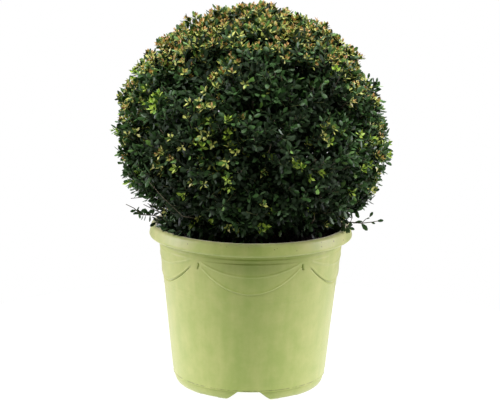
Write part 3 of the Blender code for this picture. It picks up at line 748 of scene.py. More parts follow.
def depth_in_ball(point, reach):
    sphere = reach - (point - MIDDLE).length
    grow = min(reach - CROWN_RADIUS, 0.004)
    radius = math.hypot(point.x - UNDERCUT_CENTRE_X, point.y)
    cone = UNDERCUT_RADIUS + grow + UNDERCUT_SLOPE * (point.z - UNDERCUT_Z) - radius
    return min(sphere, cone / math.hypot(1.0, UNDERCUT_SLOPE), point.z - CROWN_FLOOR_Z)


def outline_point(direction, reach):
    """Where the outline lies that way from the crown's middle, found by halving."""
    low, high = 0.0, CROWN_REACH * 1.2
    for _ in range(16):
        half = (low + high) / 2
        inside = depth_in_ball(MIDDLE + direction * half, reach) > 0.0
        low, high = (half, high) if inside else (low, half)
    return MIDDLE + direction * low


def spread_directions(count):
    for i in range(count):
        z = 1.0 - 2.0 * (i + 0.5) / count
        ring = math.sqrt(1.0 - z * z)
        yield Vector((ring * math.cos(i * GOLDEN_ANGLE), ring * math.sin(i * GOLDEN_ANGLE), z))


# %% [markdown]
# ## Stem and boughs
# The bark piece is one mesh: the stem with its flare, seven boughs and two low limbs. Each limb
# starts inside the stem, so here the joints are closed. Fine ridges come from noise that is
# stretched along the limb.

# %% Limbs
def bend(start, end, bulge, steps):
    shares = [i / steps for i in range(steps + 1)]
    return [start.lerp(end, t) + bulge * (4.0 * t * (1.0 - t)) for t in shares]


def stem_middle(z):
    return UP * z + STEM_LEAN * ((z - SOIL_Z) / (STEM_TOP_Z - SOIL_Z))


def limb_plans():
    """Each limb's root, tip, bow and end radii, from the fork outwards."""
    plans = {}
    for k in range(SIDE_MASSES):
        root = stem_middle(STEM_TOP_Z - BOUGH_ROOT_DROPS[k % 2]) + around(0.004, side_angle(k), 0.0)
        tip = around(BOUGH_TIP[0], side_angle(k) + 0.1 * (-1) ** k, BOUGH_TIP[1])
        plans[MASS_NAMES[k]] = (root, tip, UP * -BOUGH_SAG, BOUGH_RADII)
    plans["top"] = (stem_middle(STEM_TOP_Z - 0.004), LEADER_TIP, Vector((BOUGH_SAG, 0.0, 0.0)), LEADER_RADII)
    for name, tip in LOW_LIMB_TIPS.items():
        plans[name] = (stem_middle(SOIL_Z + LOW_LIMB_ROOT_HEIGHT), tip, LOW_LIMB_BOW, LOW_LIMB_RADII)
    return plans


def bark_tube(points, radii, sides, relief_share):
    """A tube with ridged bark: rings of points, and the faces between them."""
    rings = []
    side = None
    for i, point in enumerate(points):
        along = (points[min(i + 1, len(points) - 1)] - points[max(i - 1, 0)]).normalized()
        side = side or along.orthogonal().normalized()
        side = (side - along * side.dot(along)).normalized()
        for turn in np.arange(sides) * math.tau / sides:
            out = side * math.cos(turn) + along.cross(side) * math.sin(turn)
            place = Vector((3.0 * math.cos(turn), 3.0 * math.sin(turn), 60.0 * point.z)) + along
            ridge = noise.noise(place) + 0.5 * noise.noise(place * 2.3)
            rings.append(point + out * radii[i] * (1.0 + relief_share * ridge))
    return rings, tube_faces(len(points), sides)


def make_limbs():
    """All the wood as one mesh, and each limb's tip, heading there and radius there."""
    heights = np.linspace(SOIL_Z - 0.004, STEM_TOP_Z, STEM_MESH[0] + 1)
    radii = [STEM_RADIUS - STEM_TAPER * (z - SOIL_Z) + STEM_FLARE * math.exp(-max(z - SOIL_Z, 0.0) / 0.01)
             for z in heights]
    tubes = [bark_tube([stem_middle(z) for z in heights], radii, *STEM_MESH[1:])]
    ends = {}
    for name, (root, tip, bow, end_radii) in limb_plans().items():
        points = bend(root, tip, bow, LIMB_MESH[0])
        tubes.append(bark_tube(points, np.linspace(*end_radii, len(points)), *LIMB_MESH[1:]))
        ends[name] = (tip, (tip - bend(root, tip, bow, 5)[-2]).normalized(), end_radii[1])
    vertices, faces = [], []
    for rings, ring_faces in tubes:
        faces += [[corner + len(vertices) for corner in face] for face in ring_faces]
        vertices += rings
    return mesh_object("stem_and_boughs", vertices, faces=faces), ends


def bark_paint(name, dark, light):
    finish = Finish(name, Specular_IOR_Level=0.3)
    ridges = finish.noise(1.0, 4.0, 0.65, stretch=(420.0, 420.0, 60.0))
    share = finish.ramp(ridges * 0.6 + finish.noise(55.0, 3.0) * 0.4, (0.36, 0.0), (0.64, 1.0))
    finish.feed("Base Color", finish.mix(share, dark, light))
    finish.feed("Roughness", 0.92 - 0.2 * ridges)
    finish.bump(ridges, 0.0006)
    return finish.material


limbs, limb_ends = make_limbs()
limbs.data.materials.append(bark_paint("bark", rgba(0.06, 0.043, 0.03), rgba(0.2, 0.16, 0.12)))
give_to_frame(limbs, "bark", "stem", *[f"bough_{name}" for name in limb_ends])

# %% [markdown]
# ## Twigs
# A twig is a short path of points, each with a girth. All paths go into one mesh of bare edges,
# and a node tree turns the edges into three-sided twigs. That is far lighter than a separate
# curve object for each of the thousands of twigs. The clipped surface isn't even: it has
# hollows, and where the plant is in growth it stands out a little further.

# %% Hollows and drifts
rng = random.Random(SEED)
woody, green, sprigs = [], [], []
# Hollows in the clipped surface: bearing from the front, height share, half width, depth.
HOLLOWS = (
    (-32, 0.62, 0.13, 0.02), (8, 0.4, 0.15, 0.028), (30, 0.28, 0.15, 0.026), (-14, 0.08, 0.17, 0.018),
    (6, -0.22, 0.19, 0.026), (27, -0.55, 0.22, 0.034), (-26, -0.45, 0.16, 0.022), (52, -0.1, 0.14, 0.016),
    (-58, 0.12, 0.14, 0.022), (-45, -0.2, 0.14, 0.024), (20, 0.62, 0.12, 0.02), (110, 0.3, 0.16, 0.024),
    (165, -0.1, 0.18, 0.024), (-120, 0.05, 0.17, 0.024), (-165, 0.5, 0.15, 0.022), (140, -0.5, 0.18, 0.024),
    (-95, -0.35, 0.15, 0.016), (75, 0.55, 0.13, 0.016))
# Drifts of new growth: bearing from the front, height share, half width, share added or taken.
FLUSH_DRIFTS = (
    (-53, 0.7, 0.19, 0.7), (-92, 0.66, 0.22, 0.6), (-80, 0.42, 0.25, 0.8), (-18, 0.28, 0.19, 0.75),
    (-14, 0.04, 0.15, 0.35), (72, 0.5, 0.2, 0.8), (76, 0.68, 0.22, 0.6), (76, 0.06, 0.17, 0.9),
    (68, -0.22, 0.11, 0.5), (28, 0.12, 0.18, 0.25), (-14, -0.18, 0.12, 0.35), (-36, 0.55, 0.19, -0.95),
    (5, 0.55, 0.2, -0.65), (24, 0.46, 0.22, -0.5), (45, 0.52, 0.15, -0.3), (-3, 0.73, 0.13, -0.35),
    (37, 0.68, 0.14, -0.35), (125, 0.4, 0.3, 0.25), (-140, 0.45, 0.26, 0.25), (170, 0.15, 0.25, 0.2))


def in_spots(direction, spots):
    """The last value of every spot, falling off round the spot like a bell."""
    for bearing, height, width, value in spots:
        middle = around(math.sqrt(1.0 - height * height), math.radians(bearing), height)
        yield value * float(bell((direction - middle).length, width))


def hollow_depth(direction):
    """How much lower the surface lies where the plant is thin, in metres."""
    return max(in_spots(direction, HOLLOWS))


def flush_share(direction):
    """How likely a tuft is to carry new growth: most on top, in drifts down the sides."""
    patch = noise.noise(direction * 4.2 + Vector((2.0, 6.0, SEED)))
    share = 0.12 + 0.82 * float(smooth_step(0.42, 0.95, direction.z + 0.25 * patch))
    for change in in_spots(direction, FLUSH_DRIFTS):
        share += change
    return share


def tuft_reach(direction):
    """How far out a tuft's middle twig grows: uneven, flatter on top, lower in the hollows."""
    new_growth = NEW_GROWTH_LENGTH * (min(max(flush_share(direction), 0.0), 1.0) - 0.4)
    clusters = noise.noise(direction * 6.5 + Vector((3.0, 1.0, SEED)))
    flat = TOP_FLATTENED * float(smooth_step(0.45, 1.0, direction.z))
    valley = CLUSTER_GAP_DEPTH * float(smooth_step(0.02, 0.38, -clusters))
    uneven = 0.7 * TUFT_UNEVEN * clusters + rng.uniform(-TUFT_UNEVEN, 0.7 * TUFT_UNEVEN)
    return TUFT_RADIUS - flat + uneven + new_growth - valley - hollow_depth(direction)


# %% Places where nothing grows
def in_thin_corner(point):
    """The low corners of the crown: at the left bare twigs show against the sky."""
    leafy_edge = 0.316 + 0.42 * max(-0.155 - point.x, 0.0)
    holes = -0.158 < point.x < -0.125 and 0.286 < point.z < 0.318
    right = point.x > 0.15 and point.z < 0.303
    return holes or right or (point.x < -0.129 and point.z < leafy_edge)


def is_closed(point):
    """Above the stem's foot, under the crown's floor, or in a thin corner."""
    over_stem = math.hypot(point.x, point.y) < BARE_RADIUS and point.z < CROWN_Z
    return over_stem or point.z < CROWN_FLOOR_Z + 0.004 or in_thin_corner(point)


def is_in_crown(point):
    return point.z > CROWN_FLOOR_Z and not in_thin_corner(point)


def is_over_pot(point):
    """Clear of the soil and of the rim, under the ball."""
    radius = math.hypot(point.x, point.y)
    return point.z > (0.252 if radius < 0.144 else 0.2685) and radius < SKIRT_RADII[1] + 0.01


# %% Grow the shoots
def stray(reach):
    return Vector([rng.uniform(-reach, reach) for _ in range(3)])


def heading_of(direction, wander):
    return ((direction + UP * SHOOT_RISE).normalized() + stray(wander)).normalized()


def nearest(anchors, point):
    """The anchor (an array row) that lies nearest to a point."""
    gaps = anchors - np.array(point)
    return Vector(anchors[np.argmin((gaps * gaps).sum(axis=1))])


def grow_shoots():
    """Stems, branchlets to the hubs, and shoots. Returns the places that tufts may grow from."""
    hubs, shoots = {}, {}
    for name in MASS_NAMES:
        tip, along, radius = limb_ends[name]
        end = tip + along * MASS_STEM_LENGTH
        woody.append(([tip - along * 0.004, tip, end], [radius, radius, radius * 0.8]))
        hubs[name], shoots[name] = [], []
        for direction in spread_directions(HUBS_ON_FULL_BALL):
            hub = MIDDLE + direction * HUB_RADIUS
            if depth_in_space(name, hub) > EDGE_SHARE and hub.z > CORE_FLOOR_Z + EDGE_SHARE:
                middle = end.lerp(hub, 0.5) + stray(0.005)
                woody.append(([end - along * 0.006, middle, hub], BRANCHLET_GIRTHS))
                hubs[name] += [middle, hub]
    for direction in spread_directions(SHOOTS_ON_FULL_BALL):
        reach = CROWN_RADIUS - SHOOT_INSET - rng.uniform(0.0, 0.01) - hollow_depth(direction)
        tip = outline_point(direction, reach)
        if not is_closed(tip):
            name = mass_of(tip)
            base = tip - heading_of(direction, 0.0) * SHOOT_LENGTH
            root = nearest(np.array(hubs[name]), base)
            middle = root.lerp(base, 0.55) + direction * 0.003
            woody.append(([root, middle, base, tip], SHOOT_GIRTHS))
            shoots[name] += [middle, base] + [base.lerp(tip, share) for share in (0.3, 0.6, 0.9)]
    return {name: np.array(hubs[name][1::2] + shoots[name]) for name in MASS_NAMES}


# %% [markdown]
# A tuft is one lateral twig with four to seven sprigs that fan out from it. Each tuft is either
# resting or flushing, which decides later how many of its tips carry new growth. Dealing this
# out by tuft and not by leaf is what makes the new growth sit in clusters. Inner tufts close
# the view through the crown, and under the ball a skirt of shaded tufts hangs over the potting
# mix and just over the rim.

# %% Grow the tufts
def grow_tuft(places, base, tip, way, is_free, is_allowed, direction, tuft, above=0.0, inset=0.0):
    """One lateral with its sprigs, each kept as root, tip, heading, outward way and tuft number."""
    root = nearest(places[mass_of(tip + UP * above)], base - direction * inset)
    woody.append(([root, root.lerp(base, 0.6) + (tip - MIDDLE).normalized() * 0.003, base, tip],
                  LATERAL_GIRTHS))
    sprigs.append((base.lerp(tip, 0.25), tip, way, direction, tuft))
    side = way.orthogonal().normalized()
    start = rng.uniform(0.0, math.tau)
    count = rng.randint(*SPRIGS_IN_TUFT)
    for i in range(count):
        turn = start + i * GOLDEN_ANGLE
        out = side * math.cos(turn) + way.cross(side) * math.sin(turn)
        lean = math.radians(rng.uniform(*SPRIG_LEAN))
        heading = (way * math.cos(lean) + out * math.sin(lean) + UP * SPRIG_RISE).normalized()
        twig_root = base.lerp(tip, 0.15 + 0.65 * i / count)
        length = LONGEST_SPRIG * rng.uniform(0.65, 1.0)
        while length > SHORTEST_SPRIG and not is_free(twig_root + heading * length):
            length *= 0.86
        twig_tip = twig_root + heading * length
        if is_allowed(twig_tip):
            green.append(([twig_root, twig_tip], SPRIG_GIRTHS))
            sprigs.append((twig_root, twig_tip, heading, direction, tuft))


def grow_outer_tufts(places):
    for tuft, direction in enumerate(spread_directions(TUFTS_ON_FULL_BALL)):
        reach = tuft_reach(direction)
        tip = outline_point(direction, reach)
        if not is_closed(tip):
            way = heading_of(direction, TUFT_WANDER)
            base = tip - way * TUFT_LENGTH * rng.uniform(0.85, 1.15)
            grow_tuft(places, base, tip, way, lambda point: depth_in_ball(point, reach + 0.004) > 0.0,
                      is_in_crown, direction, tuft, inset=0.012)


def grow_inner_tufts(places):
    for i, direction in enumerate(spread_directions(INNER_TUFTS_ON_FULL_BALL)):
        tip = MIDDLE + direction * INNER_TUFT_RADIUS
        if not is_closed(tip) and depth_in_ball(tip, CROWN_RADIUS) >= INNER_TUFT_CLEARANCE:
            way = heading_of(direction, INNER_TUFT_WANDER)
            grow_tuft(places, tip - way * TUFT_LENGTH * 0.8, tip, way, is_in_crown, is_in_crown,
                      direction, FIRST_INNER_TUFT + i)


def grow_skirt(places):
    low, high = SKIRT_RADII
    gap_middle, gap_width, gap_depth = SKIRT_GAP
    for i in range(SKIRT_TUFTS):
        turn = i * GOLDEN_ANGLE
        radius = math.sqrt(low * low + (i + 0.5) / SKIRT_TUFTS * (high * high - low * low))
        off_gap = math.degrees(math.remainder(turn - math.radians(gap_middle), math.tau))
        if radius > high - gap_depth * float(bell(off_gap, gap_width)):
            continue
        tip = around(radius, turn, rng.uniform(*SKIRT_Z))
        tip.z = max(tip.z, 0.272) if radius > 0.138 else tip.z
        if tip.x < SKIRT_OPEN_X and tip.y > SKIRT_OPEN_Y:
            continue
        way = (around(1.0, turn, 0.0) + UP * rng.uniform(-0.5, 0.1)).normalized()
        grow_tuft(places, tip - way * TUFT_LENGTH * 0.8 + UP * 0.006, tip, way, is_over_pot, is_over_pot,
                  (tip - MIDDLE).normalized(), FIRST_SKIRT_TUFT + i, above=0.03)


# %% [markdown]
# The low sprays are few enough to lay out one by one. Their stems run on from the low limbs,
# with side twigs and a handful of leaves, and the left one ends bare. On the left the crown is
# thin, so bare twigs fan out there from the low limb to the leafy edge above.

# %% Low sprays and bare twigs
SPRAY_TWIGS = {
    "low_left": (
        ((-0.158, -0.036, 0.2833), (-0.177, -0.038, 0.2842), (-0.188, -0.04, 0.295), (-0.201, -0.04, 0.3014)),
        ((-0.15, -0.036, 0.29), (-0.152, -0.04, 0.299))),
    "low_right": (
        ((0.161, -0.042, 0.2771), (0.177, -0.044, 0.2763), (0.195, -0.046, 0.279), (0.205, -0.046, 0.2812)),
        ((0.178, -0.044, 0.2768), (0.184, -0.046, 0.2835), (0.19, -0.046, 0.287)),
        ((0.16, -0.042, 0.278), (0.163, -0.04, 0.285), (0.162, -0.04, 0.292)),
        ((0.148, -0.058, 0.276), (0.156, -0.066, 0.274)))}
# Each leaf: its twig, share along it, bearing in the front view, size, share of its face shown.
SPRAY_LEAVES = {
    "low_left": (
        (0, 0.02, 75, 0.8, 0.8), (0, 0.05, 140, 0.75, 0.8), (0, 0.08, -100, 0.85, 0.4),
        (0, 0.12, 60, 0.8, 0.9), (0, 0.15, 110, 0.85, 0.7), (0, 0.2, -112, 0.75, 0.2),
        (0, 0.24, 85, 0.8, 0.9), (0, 0.27, -118, 0.7, 0.25), (0, 0.26, 140, 0.75, 0.8),
        (0, 0.34, 62, 0.8, 0.8), (0, 0.36, 120, 0.75, 0.6), (0, 0.38, 165, 0.7, 0.7),
        (0, 0.44, -82, 0.75, 0.6), (0, 0.48, 205, 0.65, 0.9), (0, 0.52, 60, 0.6, 0.4),
        (0, 0.56, 190, 0.75, 1.0), (1, 0.6, 75, 0.8, 0.9), (1, 0.3, 130, 0.7, 0.6),
        (1, 0.9, 20, 0.65, 0.7), (1, 0.1, 50, 0.8, 0.8)),
    "low_right": (
        (0, 0.1, 6, 1.0, 0.5), (0, 0.34, -50, 1.15, 0.8), (0, 0.62, -20, 0.55, 0.7),
        (0, 0.9, 8, 0.8, 0.75), (1, 1.0, 60, 0.75, 1.0), (1, 0.5, 10, 0.5, 0.4),
        (2, 0.4, 100, 0.9, 0.3), (2, 0.95, 50, 0.9, 0.6), (2, 0.9, 120, 0.8, 0.7),
        (3, 0.2, 95, 0.8, 0.9), (3, 0.5, -62, 0.9, 0.9), (3, 0.7, -95, 0.8, 0.7),
        (3, 0.9, -20, 0.8, 0.8), (3, 0.3, -125, 0.8, 0.9), (3, 0.95, 60, 0.7, 0.8),
        (3, 0.1, -90, 0.8, 0.6), (3, 0.6, 20, 0.75, 0.8))}
FAN_ROOT = Vector((-0.112, -0.03, 0.279))
FAN_TIPS = (
    ((-0.165, -0.03, 0.3125), (-0.194, -0.03, 0.309)), ((-0.152, -0.03, 0.294), (-0.167, -0.03, 0.301)),
    ((-0.138, -0.06, 0.296), (-0.158, -0.07, 0.318)), ((-0.132, -0.01, 0.299), (-0.15, 0.01, 0.322)),
    ((-0.136, -0.04, 0.29), (-0.16, -0.04, 0.31)), ((-0.128, 0.03, 0.298), (-0.158, 0.05, 0.318)),
    ((-0.126, -0.08, 0.298), (-0.14, -0.095, 0.318)), ((-0.14, 0.0, 0.293), (-0.168, 0.004, 0.306)),
    ((-0.15, -0.034, 0.289), (-0.172, -0.052, 0.304)))
LONG_TWIG = (
    (-0.085, -0.11, 0.295), (-0.105, -0.166, 0.31), (-0.1365, -0.169, 0.341), (-0.157, -0.153, 0.3605))


def point_on(points, share):
    step = min(share, 0.999) * (len(points) - 1)
    return points[int(step)].lerp(points[int(step) + 1], step - int(step))


def grow_spray(name):
    """The twigs on from one low limb. Returns its leaves as root, heading, face and size."""
    tip, along, radius = limb_ends[name]
    twigs = [[Vector(place) for place in twig] for twig in SPRAY_TWIGS[name]]
    woody.append(([tip - along * 0.004, tip] + twigs[0], np.linspace(radius, 0.0006, 6)))
    for twig in twigs[1:]:
        woody.append(([tip.lerp(twig[0], 0.7)] + twig, np.linspace(0.0009, 0.0005, len(twig) + 1)))
    leaves = []
    for twig, share, bearing, size, shown in SPRAY_LEAVES[name]:
        turn = math.radians(bearing)
        heading = Vector((math.cos(turn), -0.15, math.sin(turn))).normalized()
        edge_on = heading.cross(Vector((0.0, -1.0, 0.0)))
        face = edge_on.lerp(Vector((0.0, -1.0, 0.25)), shown).normalized()
        leaves.append((point_on(twigs[twig], share), heading, face, size))
    return leaves


def grow_bare_twigs():
    """The fan in the thin corner, and one long twig that lies on the crown beside it."""
    for middle, end in FAN_TIPS:
        path = [FAN_ROOT + stray(0.006), Vector(middle), Vector(end)]
        woody.append((path, BARE_TWIG_GIRTHS))
        fork = path[1].lerp(path[2], 0.3)
        sway = Vector((rng.uniform(-0.014, -0.004), rng.uniform(-0.01, 0.01), rng.uniform(0.004, 0.016)))
        woody.append(([fork, fork + sway], SPRIG_GIRTHS))
    woody.append((LONG_TWIG, LONG_TWIG_GIRTHS))


places = grow_shoots()
grow_outer_tufts(places)
grow_inner_tufts(places)
grow_skirt(places)
grow_bare_twigs()
spray_leaves = grow_spray("low_left") + grow_spray("low_right")
print(f"grown: {len(woody)} woody twigs, {len(green)} green twigs, {len(sprigs)} sprigs")


# %% A tree that gives twigs their thickness
def attribute(graph, label, data_type="FLOAT_VECTOR"):
    return graph.add("GeometryNodeInputNamedAttribute", {"Name": label}, data_type=data_type)


def twig_tree():
    graph, given = new_tree("twigs_from_edges", Sides="Int")
    curves = graph.add("GeometryNodeMeshToCurve", {0: given["Geometry"]})
    ring = graph.add("GeometryNodeCurvePrimitiveCircle", {"Resolution": given["Sides"], "Radius": 1.0})
    tubes = graph.add("GeometryNodeCurveToMesh",
                      {"Curve": curves, "Profile Curve": ring, "Scale": attribute(graph, "girth", "FLOAT"),
                       "Fill Caps": True})
    return end_tree(graph, tubes, given["Finish"])


def carry(piece, label, values):
    """Give each point of a mesh a number or a vector for a tree to read."""
    kind, field = ("FLOAT", "value") if np.ndim(values) == 1 else ("FLOAT_VECTOR", "vector")
    piece.data.attributes.new(label, kind, "POINT").data.foreach_set(field, np.ravel(values))


def foliage_piece(name, carrier, tree, **values):
    made = run_tree(name, carrier, tree, **values)
    bpy.data.objects.remove(carrier, do_unlink=True)
    give_to_frame(made, "foliage", *FOLIAGE_NODES)


twig_brown = bark_paint("twig_bark", rgba(0.062, 0.05, 0.03), rgba(0.2, 0.175, 0.115))
twig_green = bark_paint("green_twig", rgba(0.06, 0.07, 0.02), rgba(0.15, 0.17, 0.06))
tree = twig_tree()
for name, twigs, paint in (("twigs_woody", woody, twig_brown), ("twigs_green", green, twig_green)):
    points = [point for path, _ in twigs for point in path]
    starts = np.cumsum([0] + [len(path) for path, _ in twigs])
    edges = [(i, i + 1) for first, end in zip(starts, starts[1:]) for i in range(first, end - 1)]
    carrier = mesh_object(name + "_edges", points, edges=edges)
    carry(carrier, "girth", np.concatenate([girths for _, girths in twigs]))
    foliage_piece(name, carrier, tree, Sides=3, Finish=paint)

# %% [markdown]
# ## Leaves
# A leaf is an oval of ten faces with a folded midrib. Thousands of copies are laid out as bare
# points that carry a turn, a size and a tone, and one node tree puts a leaf on every point. New
# growth sits at the sprig tips as little stars of smaller leaves, bronze, gold or lime.

# %% Leaf models
def leaf_model(name, half_outline, ribs, droop, cup):
    """A folded leaf, one unit long, from its root at the origin along +X."""
    middle = [(x, 0.0, -droop * x * x) for x in ribs]
    left = [(x, y, -droop * x * x - cup * y) for x, y in half_outline]
    right = [(x, -y, z) for x, y, z in left]
    faces = [face[::-1] for face in leaf_strip(len(middle), len(left), len(middle))]
    faces += leaf_strip(len(middle), len(left), len(middle) + len(left))
    made = mesh_object(name, middle + left + right, faces=faces)
    layer = made.data.uv_layers.new(name="leaf")
    for loop in made.data.loops:
        x, y, _ = made.data.vertices[loop.vertex_index].co
        layer.data[loop.index].uv = (x, y + 0.5)
    print(name, "has", len(faces), "faces")
    return made


def leaf_strip(count, edge, first):
    """Triangles between the midrib points and one edge of the leaf."""
    if edge == 1:
        return [(i, first, i + 1) for i in range(count - 1)]
    faces = [(0, first, 1)]
    for i in range(edge - 1):
        faces += [(i + 1, first + i, first + i + 1), (i + 1, first + i + 1, i + 2)]
    return faces


leaf_full = leaf_model("leaf_full", ((0.2, 0.27), (0.56, 0.5), (0.87, 0.32)), (0.0, 0.36, 0.72, 1.0),
                       0.1, 0.16)
leaf_young = leaf_model("leaf_young", ((0.52, 0.34),), (0.0, 0.5, 1.0), -0.15, -0.35)


# %% A tree that puts leaves on points
def leaf_tree():
    graph, given = new_tree("leaves_on_points", Leaf="Object")
    spin = graph.add("FunctionNodeEulerToRotation", {0: attribute(graph, "turn")})
    placed = place_copies(graph, given["Leaf"], given["Geometry"], spin, attribute(graph, "size"))
    return end_tree(graph, placed, given["Finish"])


# %% Lay out the leaves
LEAF_LENGTH = 0.0136
LEAF_WIDTH = 0.0068
# What is kept of every leaf: also its share up the twig, and which sprig it is on.
LEAF_ROW = np.dtype([("place", "3f8"), ("turn", "3f8"), ("size", "3f8"), ("share", "f8"), ("sprig", "i8")])
dice = np.random.default_rng(SEED)


def leaf_rows(*columns):
    rows = np.empty(len(columns[0]), LEAF_ROW)
    for label, values in zip(LEAF_ROW.names, columns):
        rows[label] = values
    return rows


def unit(rows):
    return rows / np.maximum(np.linalg.norm(rows, axis=-1, keepdims=True), 1e-9)


def euler_of(along, face):
    """XYZ angles that turn +X to along and +Z towards face, for arrays of vectors."""
    across = unit(np.cross(face, along))
    face = np.cross(along, across)
    return np.stack([np.arctan2(across[:, 2], face[:, 2]), -np.arcsin(np.clip(along[:, 2], -1, 1)),
                     np.arctan2(along[:, 1], along[:, 0])], axis=-1)


def spiral_leaves(sprigs, count, length, width, opening, shares):
    """Leaves in a spiral up every sprig: opening is their angle from the twig, low and high up."""
    base, tip, way, outward = (np.array([tuple(row[i]) for row in sprigs]) for i in range(4))
    side = unit(np.cross(way, dice.normal(size=way.shape)))
    across = np.cross(way, side)
    start = dice.uniform(0, math.tau, len(base))
    parts = []
    for i in range(count):
        share = shares[0] + (shares[1] - shares[0]) * i / max(count - 1, 1)
        angle = start + i * GOLDEN_ANGLE + dice.normal(0, 0.25, len(base))
        out = side * np.cos(angle)[:, None] + across * np.sin(angle)[:, None]
        lean = np.radians(opening[0] + (opening[1] - opening[0]) * share + dice.normal(0, 9, len(base)))
        along = unit(way * np.cos(lean)[:, None] + out * np.sin(lean)[:, None])
        face = unit(way + 0.4 * outward + np.array([0.0, 0.0, 0.3]) + 0.5 * dice.normal(size=way.shape))
        grow = dice.uniform(0.78, 1.12, len(base)) * (1.0 - 0.2 * max(share - 0.7, 0.0) / 0.3)
        parts.append(leaf_rows(base + (tip - base) * share + along * 0.0008, euler_of(along, face),
                               grow[:, None] * (length, width, length), share, np.arange(len(base))))
    return np.concatenate(parts)


def leaf_piece(name, model, paint, leaves):
    carrier = mesh_object(name + "_points", leaves["place"])
    carry(carrier, "turn", leaves["turn"])
    carry(carrier, "size", leaves["size"])
    carry(carrier, "tone", dice.random(len(leaves)))
    foliage_piece(name, carrier, tree, Leaf=model, Finish=paint)


# %% [markdown]
# Leaf colours are plain greens dealt out by age: deep green low on a sprig, mid green towards its
# tip, fresh green next to new growth. How far mid green reaches is also dealt out by place, with
# painted shade as darker leaves low in front and painted light as lighter leaves on both flanks.
# Each leaf's own tone shifts its green a little, and the midrib is a shade paler.

# %% Leaf finishes
# Each paint's dark and light colour, roughness and gloss.
LEAF_COLOURS = {
    "deep": ((0.013, 0.025, 0.01), (0.025, 0.052, 0.017), 0.48, 0.12),
    "mid": ((0.029, 0.077, 0.017), (0.063, 0.14, 0.039), 0.36, 0.25),
    "fresh": ((0.075, 0.17, 0.028), (0.15, 0.29, 0.055), 0.38, 0.3),
    "bronze": ((0.4, 0.222, 0.055), (0.56, 0.358, 0.11), 0.45, 0.5),
    "gold": ((0.318, 0.358, 0.056), (0.525, 0.562, 0.128), 0.45, 0.5),
    "lime": ((0.28, 0.46, 0.04), (0.48, 0.64, 0.09), 0.42, 0.5)}


def leaf_paint(name, dark, light, roughness, gloss):
    finish = Finish(name, Specular_IOR_Level=gloss)
    tone = finish.add("ShaderNodeAttribute", output="Fac", attribute_name="tone")
    across = finish.along("Y", finish.add("ShaderNodeUVMap", uv_map="leaf"))
    rib = finish.ramp(finish.math("ABSOLUTE", across - 0.5), (0.0, 1.0), (0.07, 0.0))
    finish.feed("Base Color", finish.mix(tone * 0.9 + rib * 0.25, rgba(*dark), rgba(*light)))
    finish.feed("Roughness", roughness + 0.12 * tone)
    return finish.material


paints = {kind: leaf_paint("leaf_" + kind, *looks) for kind, looks in LEAF_COLOURS.items()}

# %% [markdown]
# New growth comes in stars of three kinds: bronze high on the crown, gold lower down and lime in
# the shade. A few spots on the front are lime whatever the tuft. Where few tufts flush, their
# stars still come in twos and threes. Darker leaves are dealt out low in front as painted shade,
# and lighter leaves on the left and right sides as painted light.

# %% Deal out new growth, and lighter and darker leaves as painted light and shade
LIME_SPOTS = ((-0.152, 0.478), (-0.075, 0.425), (0.066, 0.398), (-0.06, 0.3), (0.014, 0.296))
LIME_SPOT_RADIUS = 0.0075
STARS_IN_POOR_TUFT = 0.42
STRAY_STARS = 0.01
# How many tufts are bronze, and gold among the rest: low on the crown, and what the top adds.
BRONZE_SHARE = (0.04, 0.76)
GOLD_SHARE = (0.66, 0.31)
# The middle of the painted shade: darker leaves are dealt out low on the front of the crown.
PAINTED_SHADE_FRONT = Vector((0.15, -0.98, -0.05))


def vigour_and_painted_light_of(direction):
    """Patches of lighter and darker leaves from noise, with painted shade low in front and painted light on
    both flanks: 1 where leaves are lightest, down to 0.
    """
    patch = noise.noise(direction * 5.5 + Vector((9.0, 4.0, SEED)))
    # Painted shade: darker leaves low in front. Painted light: lighter leaves on the left and right flanks.
    painted_shade_and_light = 0.34 * float(bell((direction - PAINTED_SHADE_FRONT).length, 0.7))
    painted_shade_and_light -= 0.5 * float(bell(abs(direction.x) - 1.0, 0.3))
    return float(smooth_step(-0.35, 0.4, patch + 0.25 * direction.z - painted_shade_and_light))


def deal_tuft(direction, tuft):
    """A tuft's kind of star, and how likely each of its sprigs is to carry one."""
    high = float(smooth_step(0.1, 0.75, direction.z))
    if rng.random() < BRONZE_SHARE[0] + BRONZE_SHARE[1] * high:
        kind = "bronze"
    else:
        kind = "gold" if rng.random() < GOLD_SHARE[0] + GOLD_SHARE[1] * high else "lime"
    share = flush_share(direction) if tuft < FIRST_SKIRT_TUFT else 0.0
    in_tuft = max(share, STARS_IN_POOR_TUFT)
    return kind, in_tuft if rng.random() < share / in_tuft else STRAY_STARS


def deal_stars():
    """The kind of star at every sprig's tip, or none."""
    tufts = {}
    for _, tip, _, direction, tuft in sprigs:
        if tuft not in tufts:
            tufts[tuft] = deal_tuft(direction, tuft)
        kind, chance = tufts[tuft]
        in_spot = any(math.hypot(tip.x - x, tip.z - z) < LIME_SPOT_RADIUS for x, z in LIME_SPOTS)
        yield "lime" if in_spot and tip.y < 0.0 else kind if rng.random() < chance else "none"


# %% Full leaves
MOST_LEAVES = 18000  # in one piece
LEAVES_ON_LATERAL = 10
LEAVES_ON_SPRIG = 7
LEAF_OPENING = (62.0, 36.0)
LEAFY_STRETCH = (0.04, 0.95)
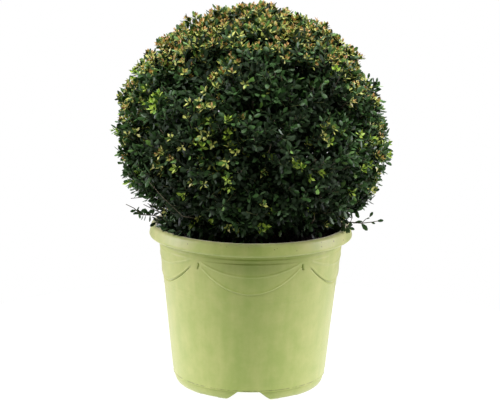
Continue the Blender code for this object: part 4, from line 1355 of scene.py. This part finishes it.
# How far up its sprig a leaf has to be for fresh green, and for mid green where leaves are dealt darkest, by
# noise patches and by painted shade in front.
FRESH_HEIGHT = 0.93
MID_HEIGHT = 0.8
stars = np.array(list(deal_stars()))
is_main = np.array([(tip - base).length > LONGEST_SPRIG + 0.001 for base, tip, *_ in sprigs])
tree = leaf_tree()
parts = []
for rows, count in ((np.flatnonzero(is_main), LEAVES_ON_LATERAL),
                    (np.flatnonzero(~is_main), LEAVES_ON_SPRIG)):
    part = spiral_leaves([sprigs[i] for i in rows], count, LEAF_LENGTH, LEAF_WIDTH,
                         LEAF_OPENING, LEAFY_STRETCH)
    part["sprig"] = rows[part["sprig"]]
    parts.append(part)
leaves = np.concatenate(parts)
height = leaves["share"] + dice.normal(0.0, 0.16, len(leaves))
flushing = stars[leaves["sprig"]] != "none"
is_fresh = (height > FRESH_HEIGHT) & (flushing | (dice.random(len(height)) < 0.1))
# How light each sprig's leaves are dealt: noise patches, with painted shade in front and painted light on the
# sides.
vigour_and_painted_light = np.array([vigour_and_painted_light_of(direction) for *_, direction, _ in sprigs])[leaves["sprig"]]
is_mid = (height > MID_HEIGHT - 0.5 * vigour_and_painted_light) & ~is_fresh & (dice.random(len(height)) < 0.15 + 0.75 * vigour_and_painted_light)
for kind, chosen in (("deep", ~is_mid & ~is_fresh), ("mid", is_mid), ("fresh", is_fresh)):
    rows = np.flatnonzero(chosen)
    for part, some in enumerate(np.array_split(rows, math.ceil(len(rows) / MOST_LEAVES))):
        leaf_piece(f"leaves_{kind}_{part + 1}", leaf_full, paints[kind], leaves[some])
print(len(leaves), "full leaves")

# %% Leaves of the low sprays
place, along, face = (np.array([tuple(leaf[i]) for leaf in spray_leaves]) for i in range(3))
sizes = [[LEAF_LENGTH * k, LEAF_WIDTH * k, LEAF_LENGTH * k] for *_, k in spray_leaves]
leaf_piece("leaves_low_sprays", leaf_full, paints["mid"], leaf_rows(place, euler_of(along, face), sizes))

# %% Stars of new growth
# Each row: the finish, which stars carry it, leaf size, leaves, opening, and the stretch of tip.
STAR_ROWS = (
    ("bronze", ("bronze",), 0.007, 0.0052, 4, (56.0, 24.0), (0.0, 0.003)),
    ("gold", ("bronze", "gold"), 0.0096, 0.007, 5, (76.0, 56.0), (-0.004, 0.0)),
    ("lime", ("lime",), 0.0105, 0.0078, 7, (76.0, 30.0), (-0.005, 0.003)))
for kind, carried_by, length, width, count, opening, (low_end, high_end) in STAR_ROWS:
    tips = [(tip + way * low_end, tip + way * high_end, way, outward)
            for (_, tip, way, outward, _), star in zip(sprigs, stars) if star in carried_by]
    star_leaves = spiral_leaves(tips, count, length, width, opening, (0.0, 1.0))
    leaf_piece(f"new_leaves_{kind}", leaf_young, paints[kind], star_leaves)
for model in (leaf_full, leaf_young):
    bpy.data.objects.remove(model, do_unlink=True)
